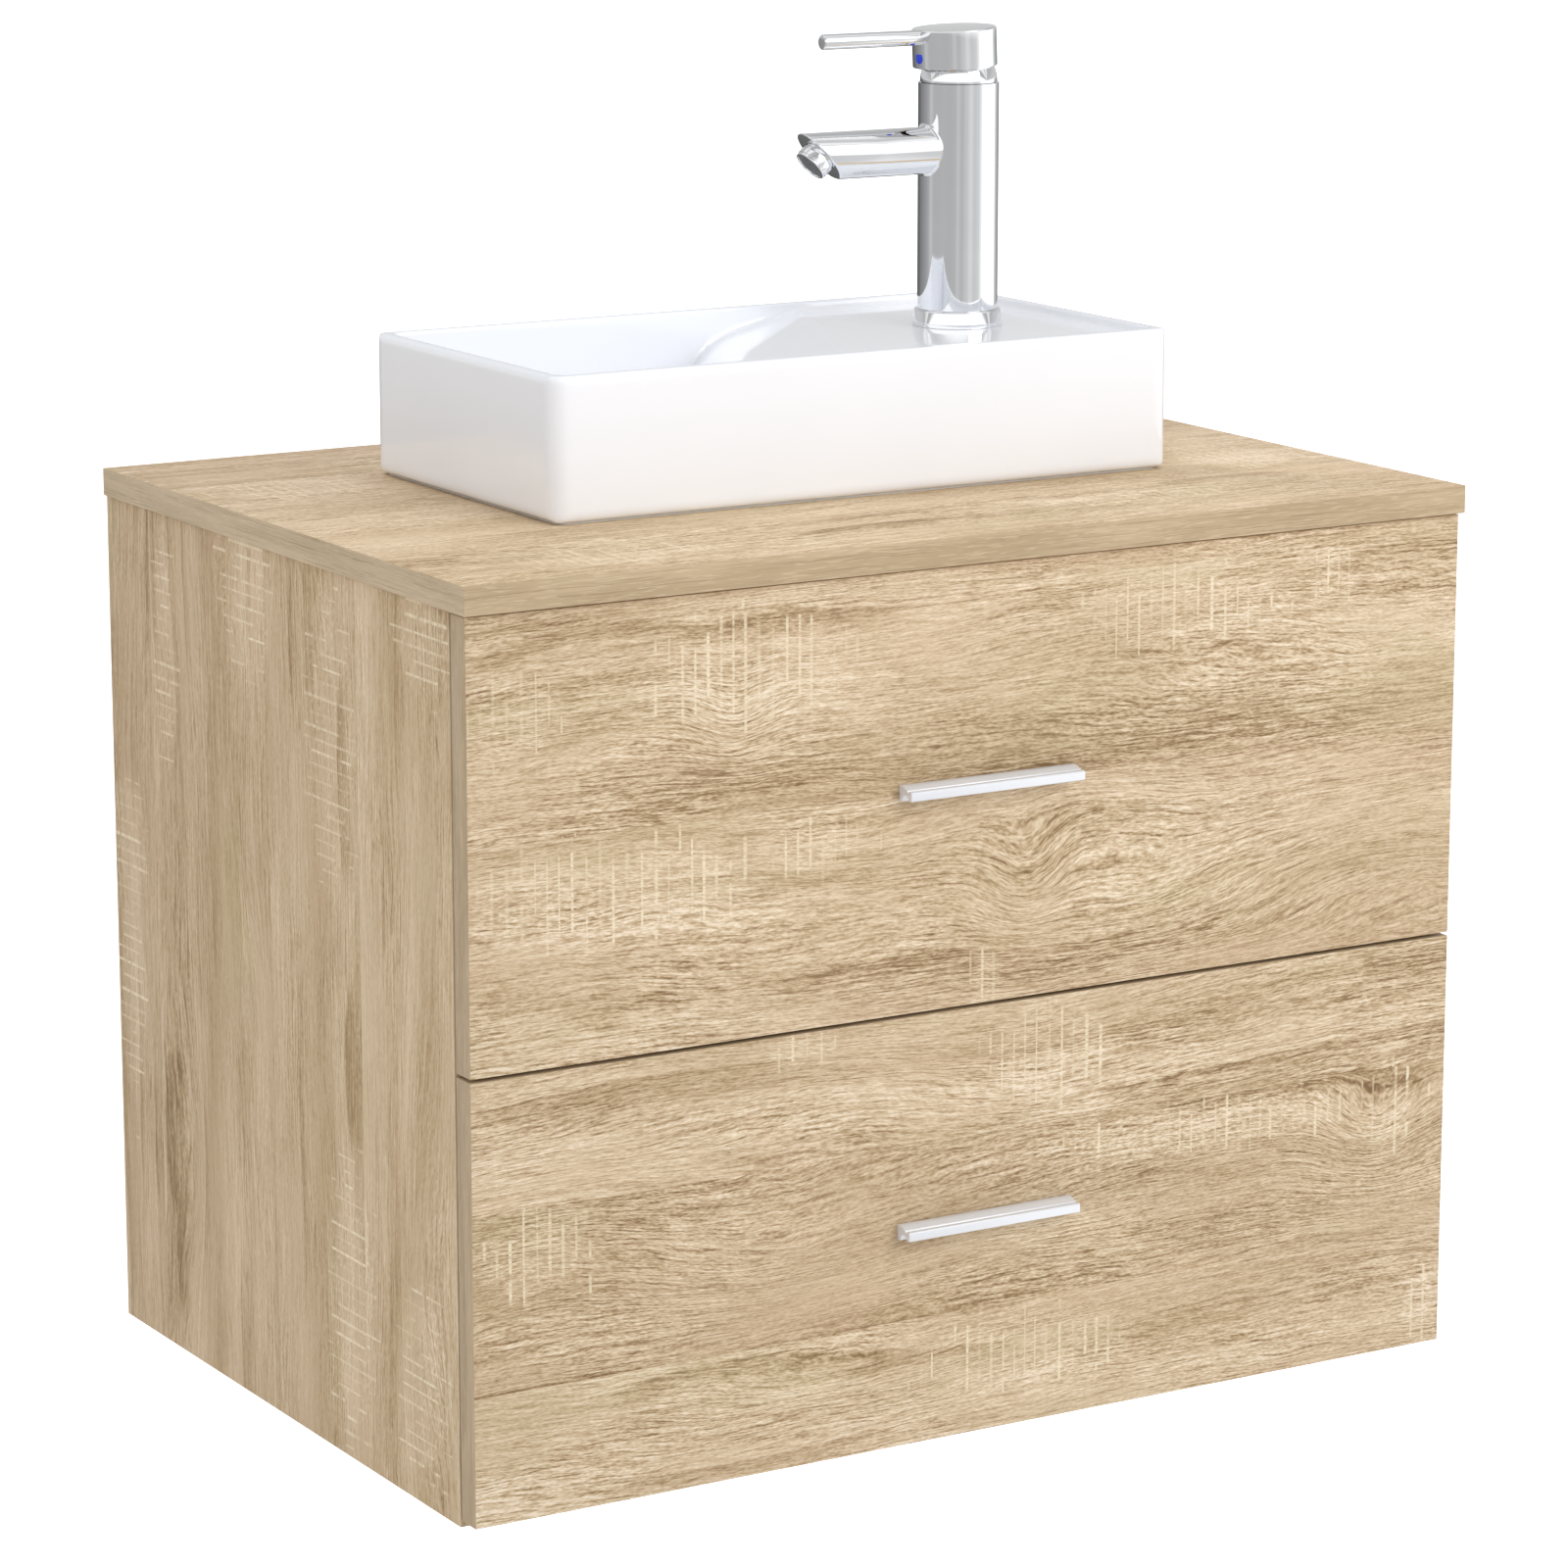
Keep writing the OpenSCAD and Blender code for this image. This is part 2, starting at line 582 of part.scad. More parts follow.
// the lever's pivot pin is one piece with the rotor that turns on the cartridge
module cartridge_rotor() {
  color(steel) at_tap() translate([0, 0, pivot_z]) union() {
    translate([0, 0, -18.2]) cylinder(r = 15, h = 8.2);
    for (s = [-1, 1]) translate([-5, s > 0 ? 4.8 : -8, -11]) cube([10, 3.2, 16.5]);
    rotate([90, 0, 0]) translate([0, 0, -8]) cylinder(r = 2, h = 16, $fn = 48);
  }
}
module lever_stem() {
  color(steel) at_tap() translate([0, 0, pivot_z]) difference() {
    translate([-3.5, -4.5, -5]) cube([7, 9, 31]);
    rotate([90, 0, 0]) translate([0, 0, -8]) cylinder(r = 2.05, h = 16, $fn = 48);
  }
}
module tap_dome() {
  color(chrome) at_tap() translate([0, 0, pivot_z]) difference() {
    union() {
      intersection() {
        sphere(r = 21, $fn = 128);
        translate([0, 0, -0.5]) cylinder(r = 30, h = 40);
      }
      translate([0, 0, -12]) cylinder(r = tap_r - 4, h = 12);
    }
    sphere(r = 18, $fn = 96);
    translate([0, 0, -13]) cylinder(r = 15.6, h = 13);
    cylinder(r = 12, h = 30);
  }
}
module tap_cap() {
  color(chrome) at_tap() translate([0, 0, pivot_z]) difference() {
    rotate([0, cap_tilt, 0]) translate([-2, 0, 8.3]) union() {
      cylinder(r = 23, h = 20.4);
      translate([0, 0, 20.4]) cylinder(r1 = 23, r2 = 22.4, h = 0.6);
    }
    sphere(r = 21.3, $fn = 128);
    translate([-12, 0, 24.2]) rotate([0, -90, 0]) cylinder(r = 4.15, h = 30, $fn = 48);
    translate([-23, 0, 13.3]) rotate([0, -90, 0]) cylinder(r = 3.7, h = 6, $fn = 48);
    translate([-3.5, -4.5, 10]) cube([7, 9, 16]);
  }
}
module lever_pin() {
  color(chrome) at_tap() translate([0, 0, pivot_z + 24.2]) rotate([0, -90, 0]) union() {
    translate([0, 0, 12]) cylinder(r = 4.15, h = lever_len - 12.8, $fn = 48);
    translate([0, 0, lever_len - 0.8]) cylinder(r1 = 4.15, r2 = 3.4, h = 0.8, $fn = 48);
  }
}
module index_dot() {
  color([0.10, 0.25, 0.80]) at_tap() translate([-23, 0, pivot_z + 13.3]) rotate([0, -90, 0])
    cylinder(r = 3.7, h = 2.7, $fn = 48);
}
module tap_stud() {
  color(steel) at_tap() translate([10, 0, deck_z - 34]) cylinder(r = 4, h = 60, $fn = 48);
}
module tap_clamp() {
  color(steel) at_tap() translate([0, 0, deck_z - 10]) difference() {
    union() {
      translate([0, 0, -3]) cylinder(r = 24, h = 3);
      translate([10, 0, -12]) cylinder(r = 8, h = 10, $fn = 6);
    }
    translate([-30, -15, -4]) cube([31, 30, 5]);
    translate([10, 0, -20]) cylinder(r = 4, h = 30, $fn = 48);
  }
}

// ---- output ----
worktop();
left_side();
right_side();
bottom_panel();
front_rail();
back_rail();
lower_back_rail();
cam_fittings();
left_hanger();
right_hanger();
bumpers();
upper_left_outer_runner();
upper_right_outer_runner();
lower_left_outer_runner();
lower_right_outer_runner();
upper_middle_runners();
lower_middle_runners();
upper_left_inner_runner();
upper_right_inner_runner();
lower_left_inner_runner();
lower_right_inner_runner();
upper_front();
upper_box_left();
upper_box_right();
upper_box_back();
upper_notch_walls();
upper_bottom();
upper_handle();
upper_handle_screws();
lower_front();
lower_box_left();
lower_box_right();
lower_box_back();
lower_bottom();
lower_handle();
lower_handle_screws();
basin();
basin_seal();
waste_body();
waste_gasket();
waste_nut();
waste_plug();
trap_body();
trap_cup();
trap_nuts();
trap_outlet_pipe();
tap_body();
tap_base_ring();
tap_spout();
tap_aerator();
tap_cartridge();
cartridge_rotor();
lever_stem();
tap_dome();
tap_cap();
lever_pin();
index_dot();
tap_stud();
tap_clamp();
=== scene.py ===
"""Looks for the wall-hung vanity with a vessel sink. Metres, in the CAD frame: +X right, -Y front, +Z up."""

import json
import math

import bmesh
import bpy
from mathutils import Matrix, Vector


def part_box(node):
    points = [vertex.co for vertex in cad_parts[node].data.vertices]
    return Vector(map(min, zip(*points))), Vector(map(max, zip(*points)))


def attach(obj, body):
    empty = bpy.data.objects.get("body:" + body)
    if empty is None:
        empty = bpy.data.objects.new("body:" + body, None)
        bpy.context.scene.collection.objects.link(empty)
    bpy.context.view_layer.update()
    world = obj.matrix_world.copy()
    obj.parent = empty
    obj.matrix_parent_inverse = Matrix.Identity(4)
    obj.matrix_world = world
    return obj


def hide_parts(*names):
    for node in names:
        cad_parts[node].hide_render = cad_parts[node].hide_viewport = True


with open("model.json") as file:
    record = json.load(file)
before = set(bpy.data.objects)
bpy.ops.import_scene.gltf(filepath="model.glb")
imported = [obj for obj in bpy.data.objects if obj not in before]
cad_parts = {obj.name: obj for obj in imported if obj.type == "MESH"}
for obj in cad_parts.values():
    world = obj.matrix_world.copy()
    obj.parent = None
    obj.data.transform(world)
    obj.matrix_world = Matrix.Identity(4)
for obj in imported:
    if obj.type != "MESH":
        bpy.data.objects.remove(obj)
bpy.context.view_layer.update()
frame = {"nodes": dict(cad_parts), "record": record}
NODES = frame["nodes"]
MM = 0.001
X, Y, Z = 0, 1, 2
# the colour sockets of a Mix node
MIX_FACTOR, MIX_A, MIX_B, MIX_RESULT = 0, 6, 7, 2


def lin(r, g, b):
    """sRGB 0-255 to a linear RGBA colour."""
    def channel(c):
        c /= 255
        return c / 12.92 if c <= 0.04045 else ((c + 0.055) / 1.055) ** 2.4
    return (channel(r), channel(g), channel(b), 1.0)


def tinted(colour, change):
    """The linear colour of an sRGB one with every channel moved by change."""
    return lin(*[max(0, min(255, c + change)) for c in colour])


# ---------------------------------------------------------------- node helpers

class Nodes:
    """Short names for the shader nodes of one tree. A value is a socket or a plain number or colour."""

    def __init__(self, tree):
        self.tree = tree
        self.tree.nodes.clear()

    def new(self, kind):
        return self.tree.nodes.new(kind)

    def link(self, value, socket):
        if isinstance(value, bpy.types.NodeSocket):
            self.tree.links.new(value, socket)
        else:
            socket.default_value = value

    def math(self, operation, a, b=0.0, c=0.0):
        n = self.new("ShaderNodeMath")
        n.operation = operation
        self.link(a, n.inputs[0])
        self.link(b, n.inputs[1])
        if operation == "MULTIPLY_ADD":
            self.link(c, n.inputs[2])
        return n.outputs[0]

    def add(self, a, b):
        return self.math("ADD", a, b)

    def sub(self, a, b):
        return self.math("SUBTRACT", a, b)

    def mul(self, a, b):
        return self.math("MULTIPLY", a, b)

    def ratio(self, a, b):
        return self.math("DIVIDE", a, b)

    def larger(self, a, b):
        return b if a is None else self.math("MAXIMUM", a, b)

    def mul_add(self, a, factor, b):
        """a times factor, plus b."""
        return self.math("MULTIPLY_ADD", a, factor, b)

    def centred(self, a):
        """Moves 0..1 to -0.5..0.5."""
        return self.sub(a, 0.5)

    def distance(self, a, b):
        return self.math("ABSOLUTE", self.sub(a, b))

    def from_middle(self, a):
        """How far a's fraction is from a half."""
        return self.distance(self.math("FRACT", a), 0.5)

    def squares(self, a, b):
        return self.add(self.mul(a, a), self.mul(b, b))

    def rise(self, x, low, high):
        """0 below low, 1 above high, smooth between."""
        n = self.new("ShaderNodeMapRange")
        n.interpolation_type = "SMOOTHSTEP"
        self.link(x, n.inputs["Value"])
        n.inputs["From Min"].default_value = low
        n.inputs["From Max"].default_value = high
        return n.outputs["Result"]

    def fall(self, x, low, high):
        """1 below low, 0 above high, smooth between."""
        return self.sub(1.0, self.rise(x, low, high))

    def mix(self, factor, a, b, blend="MIX"):
        n = self.new("ShaderNodeMix")
        n.data_type = "RGBA"
        n.blend_type = blend
        self.link(factor, n.inputs[MIX_FACTOR])
        self.link(a, n.inputs[MIX_A])
        self.link(b, n.inputs[MIX_B])
        return n.outputs[MIX_RESULT]

    def ramp(self, at, stops, interpolation="LINEAR"):
        """Colours by position; stops are (position, linear RGBA)."""
        n = self.new("ShaderNodeValToRGB")
        self.link(at, n.inputs[0])
        n.color_ramp.interpolation = interpolation
        elements = n.color_ramp.elements
        for element, (position, colour) in zip(elements, (stops[0], stops[-1])):
            element.position = position
            element.color = colour
        for position, colour in stops[1:-1]:
            elements.new(position).color = colour
        return n.outputs[0]


class Graph(Nodes):
    """The nodes of one new material with a Principled shader."""

    def __init__(self, name):
        self.mat = bpy.data.materials.new(name)
        self.mat.use_nodes = True
        super().__init__(self.mat.node_tree)
        self.bsdf = self.new("ShaderNodeBsdfPrincipled")
        self.link(self.bsdf.outputs[0], self.new("ShaderNodeOutputMaterial").inputs["Surface"])

    def xyz(self):
        """Object coordinates in millimetres, one socket each."""
        scale = self.new("ShaderNodeVectorMath")
        scale.operation = "SCALE"
        self.link(self.new("ShaderNodeTexCoord").outputs["Object"], scale.inputs[0])
        scale.inputs["Scale"].default_value = 1 / MM
        split = self.new("ShaderNodeSeparateXYZ")
        self.link(scale.outputs[0], split.inputs[0])
        return list(split.outputs[:3])

    def vector(self, x, y, z):
        n = self.new("ShaderNodeCombineXYZ")
        for value, socket in zip((x, y, z), n.inputs):
            self.link(value, socket)
        return n.outputs[0]

    def noise(self, x, y, z, scale=1.0, detail=2.0, rough=0.5):
        n = self.new("ShaderNodeTexNoise")
        self.link(self.vector(x, y, z), n.inputs["Vector"])
        n.inputs["Scale"].default_value = scale
        n.inputs["Detail"].default_value = detail
        n.inputs["Roughness"].default_value = rough
        return n.outputs["Fac"]

    def white(self, a, b):
        """One unrelated value for each pair of whole numbers."""
        n = self.new("ShaderNodeTexWhiteNoise")
        self.link(self.vector(a, b, 0.0), n.inputs["Vector"])
        return n.outputs["Value"]

    def bump(self, height, strength, distance):
        n = self.new("ShaderNodeBump")
        n.inputs["Strength"].default_value = strength
        n.inputs["Distance"].default_value = distance
        self.link(height, n.inputs["Height"])
        self.link(n.outputs[0], self.bsdf.inputs["Normal"])

    def set(self, **values):
        for key, value in values.items():
            self.link(value, self.bsdf.inputs[key.replace("_", " ")])


# ---------------------------------------------------------------- oak laminate

OAK_TONES = ((0.00, (134, 105, 72)), (0.22, (164, 136, 100)), (0.40, (192, 165, 128)),
             (0.52, (206, 181, 148)), (0.66, (220, 196, 163)), (0.82, (234, 212, 181)),
             (1.00, (248, 230, 205)))
MIDDLE_TONE = 0.535
CONTRAST = 1.14
ROSY, OLIVE, SAW_PALE = lin(222, 192, 160), lin(203, 188, 144), lin(247, 231, 199)


class Oak(Graph):
    """A print of oak planks side by side. u runs along the grain and v across it, in mm."""

    def __init__(self, name, grain, across, seed, calm):
        super().__init__(name)
        xyz = self.xyz()
        self.u, self.v = xyz[grain], xyz[across]
        self.seed, self.calm = seed, calm
        # the noises' third coordinate: the depth in the board, moved on at each seam
        self.layer = self.mul_add(xyz[3 - grain - across], 0.02, seed * 13.7)
        self.plank = 0.0

    def streaks(self, field, along, across, offset=0.0, detail=1, rough=0.5):
        """Noise with its frequencies per mm along the grain and across field."""
        return self.noise(self.mul(self.u, along), self.mul(field, across), self.add(self.layer, offset),
                          detail=detail, rough=rough)

    def unlike(self, whole, offset):
        return self.white(whole, self.seed + offset)

    def lay_planks(self, seams):
        """Starts a new plank at each seam, and gives the seams' thin lines."""
        lines = None
        for seam in seams:
            past = self.math("GREATER_THAN", self.v, seam)
            self.layer = self.mul_add(past, 5.3, self.layer)
            self.plank = self.add(self.plank, past)
            lines = self.larger(lines, self.fall(self.distance(self.v, seam), 0.15, 0.7))
        return lines

    def grow_rings(self, knots):
        """The rings' height field: straight across the board, pushed aside by soft noise and by knots."""
        self.warp = self.mul(self.centred(self.streaks(self.v, 0.0036, 0.014, rough=0.45)), 34.0)
        self.warp = self.mul_add(self.centred(self.streaks(self.v, 0.040, 0.10)), 2.6, self.warp)
        self.height = self.add(self.v, self.warp)
        for at_u, at_v, size_u, size_v, push, slope in knots:
            du = self.sub(self.u, at_u)
            away = self.squares(self.ratio(du, size_u), self.ratio(self.sub(self.v, at_v), size_v))
            near = self.math("EXPONENT", self.mul(away, -1.0))
            self.height = self.mul_add(near, self.mul_add(du, slope, push), self.height)

    def bands(self, lenses):
        """Broad bands and flakes with one sharp edge each, like growth rings cut flat."""
        beat = self.noise(self.mul(self.height, 0.011), self.layer, 3.1, detail=1)
        phase = self.add(self.mul(self.height, 0.040), self.mul(beat, 3.0))
        ring = self.math("FRACT", phase)
        where = self.rise(self.streaks(self.v, 0.0042, 0.016, 41.0, detail=2), 0.44, 0.64)
        depth = self.mul(self.unlike(self.math("FLOOR", phase), 0.0), where)
        band = self.mul(self.mul(self.math("POWER", ring, 2.4), self.fall(ring, 0.965, 1.0)), depth)
        bent = self.add(self.v, self.mul(self.warp, 0.6))
        for at_u, at_v, half_length, thickness, strength in lenses:
            a = self.ratio(self.sub(self.u, at_u), half_length)
            b = self.mul_add(self.mul(a, a), 0.8, self.ratio(self.sub(bent, at_v), thickness))
            flake = self.mul(self.rise(b, -1.1, 0.75), self.fall(b, 0.80, 0.98))
            flake = self.mul(flake, self.fall(self.math("ABSOLUTE", a), 0.45, 1.0))
            band = self.larger(band, self.mul(flake, strength))
        return band

    def fibres(self, loud):
        """Medium, long and fine fibres along the rings; the medium and fine ones are kept for the marks."""
        self.medium = self.streaks(self.height, 0.085, 1.05, rough=0.55)
        self.fine = self.streaks(self.height, 0.30, 1.9, 23.0)
        long = self.streaks(self.height, 0.016, 0.60, 9.0, detail=2, rough=0.60)
        tone = self.mul(self.centred(self.rise(self.medium, 0.36, 0.64)), 0.16 - 0.10 * self.calm)
        tone = self.mul_add(self.centred(self.rise(long, 0.30, 0.70)), 0.17 - 0.05 * self.calm, tone)
        tone = self.mul_add(self.centred(self.rise(self.fine, 0.35, 0.65)), 0.23 - 0.12 * self.calm, tone)
        return self.mul(tone, self.mul_add(loud, 0.45, 0.85))

    def drifts(self, tone):
        """Soft differences of tone along the board, in stripes, and from plank to plank."""
        soft = self.streaks(self.height, 0.0045, 0.022, 12.0, detail=3)
        stripe = self.streaks(self.height, 0.0012, 0.034, 31.0)
        tone = self.mul_add(self.centred(soft), 0.44, tone)
        tone = self.mul_add(self.centred(stripe), 0.36 - 0.04 * self.calm, tone)
        return self.mul_add(self.centred(self.unlike(self.plank, 4.0)), 0.07, tone)

    def grain_lines(self):
        """Evenly spaced lines, wandering a little and broken into dashes."""
        row = self.mul_add(self.streaks(self.height, 0.012, 0.11, 7.0), 5.0, self.mul(self.height, 0.40))
        line = self.sub(self.rise(self.from_middle(row), 0.05, 0.30), 0.6)
        return self.mul(line, self.rise(self.streaks(row, 0.050, 1.3, 15.0), 0.36, 0.62))

    def saw_zone(self, patches):
        """Above 0 inside the patches, or in places of its own where none is given."""
        zone = None
        for at_u, at_v, size_u, size_v in patches:
            a, b = self.ratio(self.sub(self.u, at_u), size_u), self.ratio(self.sub(self.v, at_v), size_v)
            zone = self.larger(zone, self.sub(1.35, self.squares(a, b)))
        if zone is None:
            places = self.streaks(self.v, 0.0070, 0.014, 90.0, detail=2, rough=0.4)
            zone = self.mul(self.sub(places, 0.56), 9.0)
        return zone

    def saw_marks(self, zone):
        """Thin pale lines straight across the grain, ragged at their ends."""
        uneven = self.noise(self.mul(self.u, 0.02), self.layer, self.seed, detail=1)
        stroke = self.mul_add(uneven, 1.6, self.mul(self.u, 0.135))
        cell = self.math("FLOOR", stroke)
        thick = self.mul_add(self.unlike(cell, 2.0), 0.09, 0.09)
        line = self.fall(self.ratio(self.from_middle(stroke), thick), 0.4, 1.0)
        ragged = self.noise(self.mul(cell, 3.7), self.mul(self.v, 0.055), self.layer, detail=1)
        reach = self.rise(self.add(zone, self.mul(self.centred(ragged), 5.0)), 0.30, 0.70)
        marks = self.mul(self.mul(line, reach), self.mul_add(self.unlike(cell, 1.0), 0.80, 0.20))
        return self.mul(marks, self.mul_add(self.rise(self.medium, 0.42, 0.56), -0.65, 1.0))

    def colour(self, tone, saw, painted_light_gain):
        """Tones with olive and rosy drifts, the saw marks, and the board's gain, which is painted light and
        shade over the whole board.
        """
        col = self.ramp(tone, [(position, lin(*rgb)) for position, rgb in OAK_TONES])
        drift = self.streaks(self.height, 0.0048, 0.020, 66.0, detail=2)
        col = self.mix(self.mul(self.rise(drift, 0.50, 0.72), 0.25), col, ROSY)
        col = self.mix(self.mul(self.fall(drift, 0.30, 0.48), 0.22), col, OLIVE)
        col = self.mix(self.mul(saw, 0.95), col, SAW_PALE)
        # the gain multiplies in painted light and shade for the whole board
        return self.mix(1.0, col, (painted_light_gain, painted_light_gain, painted_light_gain, 1.0), "MULTIPLY")


def oak(name, grain, across, seed, seams=(), knots=(), patches=(), lenses=(), painted_light_gain=1.0, calm=0.0):
    """The laminate's print. grain and across are axis numbers, all sizes are mm, and seed tells boards apart.
    seams: where one plank ends, across the grain.
    knots: (along, across, size along, size across, push, slope) push the rings aside.
    patches: (along, across, size along, size across) carry saw marks.
    lenses: (along, across, half length, thickness, strength) are dark flakes with one sharp edge.
    The gain brightens or darkens the whole board as painted light and shade, to the light that falls on it,
    and calm, 0 to 1, weakens its fibres."""
    g = Oak(name, grain, across, seed, calm)
    seam_lines = g.lay_planks(seams)
    g.grow_rings(knots)
    loud = g.rise(g.streaks(g.v, 0.007, 0.022, 55.0), 0.34, 0.62)
    tone = g.drifts(g.fibres(loud))
    tone = g.mul_add(g.bands(lenses), -0.27, tone)
    tone = g.mul_add(g.mul(g.grain_lines(), g.mul_add(loud, 0.5, 0.5)), 0.31 - 0.12 * calm, tone)
    pore = g.rise(g.streaks(g.height, 0.070, 0.80, 77.0, detail=0), 0.60, 0.66)
    tone = g.mul_add(g.mul(pore, g.mul_add(loud, 0.6, 0.4)), -0.13 + 0.05 * calm, tone)
    zone = g.saw_zone(patches)
    haze = g.mul(g.rise(zone, -0.2, 0.9), g.mul_add(g.rise(g.fine, 0.50, 0.60), 0.09, 0.05))
    tone = g.add(g.add(g.mul(tone, CONTRAST), haze), MIDDLE_TONE)
    if seam_lines is not None:
        tone = g.mul_add(seam_lines, -0.10, tone)
    g.set(Base_Color=g.colour(tone, g.saw_marks(zone), painted_light_gain), Roughness=g.mul_add(pore, 0.12, 0.56),
          Specular_IOR_Level=0.2)
    g.bump(tone, 0.30, 0.00015)
    return g.mat


def edging(name, grain, across, seed, base=(182, 160, 128), dark=(146, 122, 91), amount=0.6):
    """Plain edge band: fine straight lines along the edge."""
    g = Graph(name)
    xyz = g.xyz()
    u, v = xyz[grain], xyz[across]
    layer = g.add(g.mul(xyz[3 - grain - across], 0.3), seed * 31.0)
    height = g.add(v, g.mul(g.noise(g.mul(u, 0.02), 0.0, layer), 2.5))
    lines = g.noise(g.mul(u, 0.014), g.mul(height, 1.3), layer, detail=3, rough=0.6)
    soft = g.noise(g.mul(u, 0.01), g.mul(v, 0.1), g.add(layer, 5.0))
    dashes = g.noise(g.mul(u, 0.09), g.mul(height, 1.7), g.add(layer, 3.0), detail=1)
    col = g.mix(g.rise(soft, 0.3, 0.7), tinted(base, -7), tinted(base, 8))
    col = g.mix(g.mul(g.rise(lines, 0.50, 0.70), amount), col, lin(*dark))
    col = g.mix(g.mul(g.rise(dashes, 0.55, 0.66), 0.55 * amount), col, lin(222, 200, 168))
    g.set(Base_Color=col, Roughness=g.add(0.52, g.mul(lines, 0.12)), Specular_IOR_Level=0.22)
    g.bump(lines, 0.12, 0.0001)
    return g.mat


# ---------------------------------------------------------------- other materials

def ceramic():
    """White glaze with faint clouds and a slight orange peel."""
    g = Graph("glazed_ceramic")
    x, y, z = g.xyz()
    cloud = g.noise(x, y, z, scale=0.012)
    g.set(Base_Color=g.mix(cloud, lin(243, 244, 249), lin(249, 250, 253)), Roughness=0.09,
          Specular_IOR_Level=0.5, Coat_Weight=0.6, Coat_Roughness=0.03)
    g.bump(g.noise(x, y, z, scale=0.10), 0.05, 0.0004)
    return g.mat


def metal(name, colour, rough, grain=None, bump=0.0, metallic=1.0):
    """Metal with faint unevenness; grain is the brushing axis or None."""
    g = Graph(name)
    xyz = g.xyz()
    if grain is None:
        uneven = g.noise(*xyz, scale=0.05, detail=3)
    else:
        drawn = [g.mul(c, 0.02 if axis == grain else 1.6) for axis, c in enumerate(xyz)]
        uneven = g.noise(*drawn, detail=3, rough=0.6)
    g.set(Base_Color=g.mix(uneven, tinted(colour, -5), tinted(colour, 4)), Metallic=metallic,
          Roughness=g.add(rough * 0.8, g.mul(uneven, rough * 0.4)))
    if bump:
        g.bump(uneven, bump, 0.0001)
    return g.mat


def plastic(name, colour, rough=0.42, spread=4):
    """Moulded plastic or rubber with a fine texture."""
    g = Graph(name)
    x, y, z = g.xyz()
    texture = g.noise(x, y, z, scale=0.6, detail=3, rough=0.6)
    cloud = g.noise(x, y, z, scale=0.02)
    g.set(Base_Color=g.mix(cloud, tinted(colour, -spread), tinted(colour, spread)),
          Roughness=g.add(rough - 0.05, g.mul(texture, 0.1)), Specular_IOR_Level=0.45)
    g.bump(texture, 0.08, 0.0001)
    return g.mat


def white_board():
    """White melamine on chipboard."""
    g = Graph("white_melamine")
    x, y, z = g.xyz()
    fleck = g.noise(x, y, z, scale=0.9, detail=3, rough=0.7)
    cloud = g.noise(x, y, z, scale=0.01)
    g.set(Base_Color=g.mix(cloud, lin(226, 223, 217), lin(234, 232, 227)),
          Roughness=g.add(0.45, g.mul(fleck, 0.15)), Specular_IOR_Level=0.4)
    g.bump(fleck, 0.15, 0.00015)
    return g.mat


# ---------------------------------------------------------------- mesh helpers

def body_name(node):
    """The body that a CAD node belongs to."""
    for body, names in frame["record"]["behaviour"]["bodies"].items():
        if node in names:
            return body


def shade(obj, angle=35):
    """Smooth shading with edges sharper than angle, in degrees, kept sharp."""
    for p in obj.data.polygons:
        p.use_smooth = True
    obj.data.set_sharp_from_angle(angle=math.radians(angle))


def apply_all(obj):
    """Turns the modifiers' result into the object's own mesh."""
    depsgraph = bpy.context.evaluated_depsgraph_get()
    result = bpy.data.meshes.new_from_object(obj.evaluated_get(depsgraph))
    obj.modifiers.clear()
    old = obj.data
    obj.data = result
    bpy.data.meshes.remove(old)


def new_object(name, me):
    obj = bpy.data.objects.new(name, me)
    bpy.context.scene.collection.objects.link(obj)
    return obj


def softened(node, name, width):
    """A copy of a CAD node with its flat faces merged and its edges rounded by width, in metres."""
    flat, sharp = math.radians(1.0), math.radians(30)
    me = NODES[node].data.copy()
    me.materials.clear()
    bm = bmesh.new()
    bm.from_mesh(me)
    bmesh.ops.remove_doubles(bm, verts=bm.verts, dist=1e-6)
    bmesh.ops.dissolve_limit(bm, angle_limit=flat, verts=bm.verts, edges=bm.edges)
    edges = [e for e in bm.edges if len(e.link_faces) == 2 and e.calc_face_angle(0) > sharp]
    bmesh.ops.bevel(bm, geom=edges, offset=width, segments=2, profile=0.5, affect="EDGES", clamp_overlap=True)
    bm.to_mesh(me)
    bm.free()
    obj = new_object(name, me)
    shade(obj, 50)
    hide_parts(node)
    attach(obj, body_name(node))
    return obj


def paint(obj, mat):
    obj.data.materials.clear()
    obj.data.materials.append(mat)
    for p in obj.data.polygons:
        p.material_index = 0


def paint_board(obj, face_axis, face_mat, band_mats):
    """The two large faces get face_mat; the edges get the band of their own axis."""
    obj.data.materials.clear()
    axes = [a for a in range(3) if a != face_axis]
    obj.data.materials.append(face_mat)
    for a in axes:
        obj.data.materials.append(band_mats[a])
    for p in obj.data.polygons:
        n = [abs(c) for c in p.normal]
        facing = n.index(max(n))
        p.material_index = 0 if facing == face_axis else 1 + axes.index(facing)


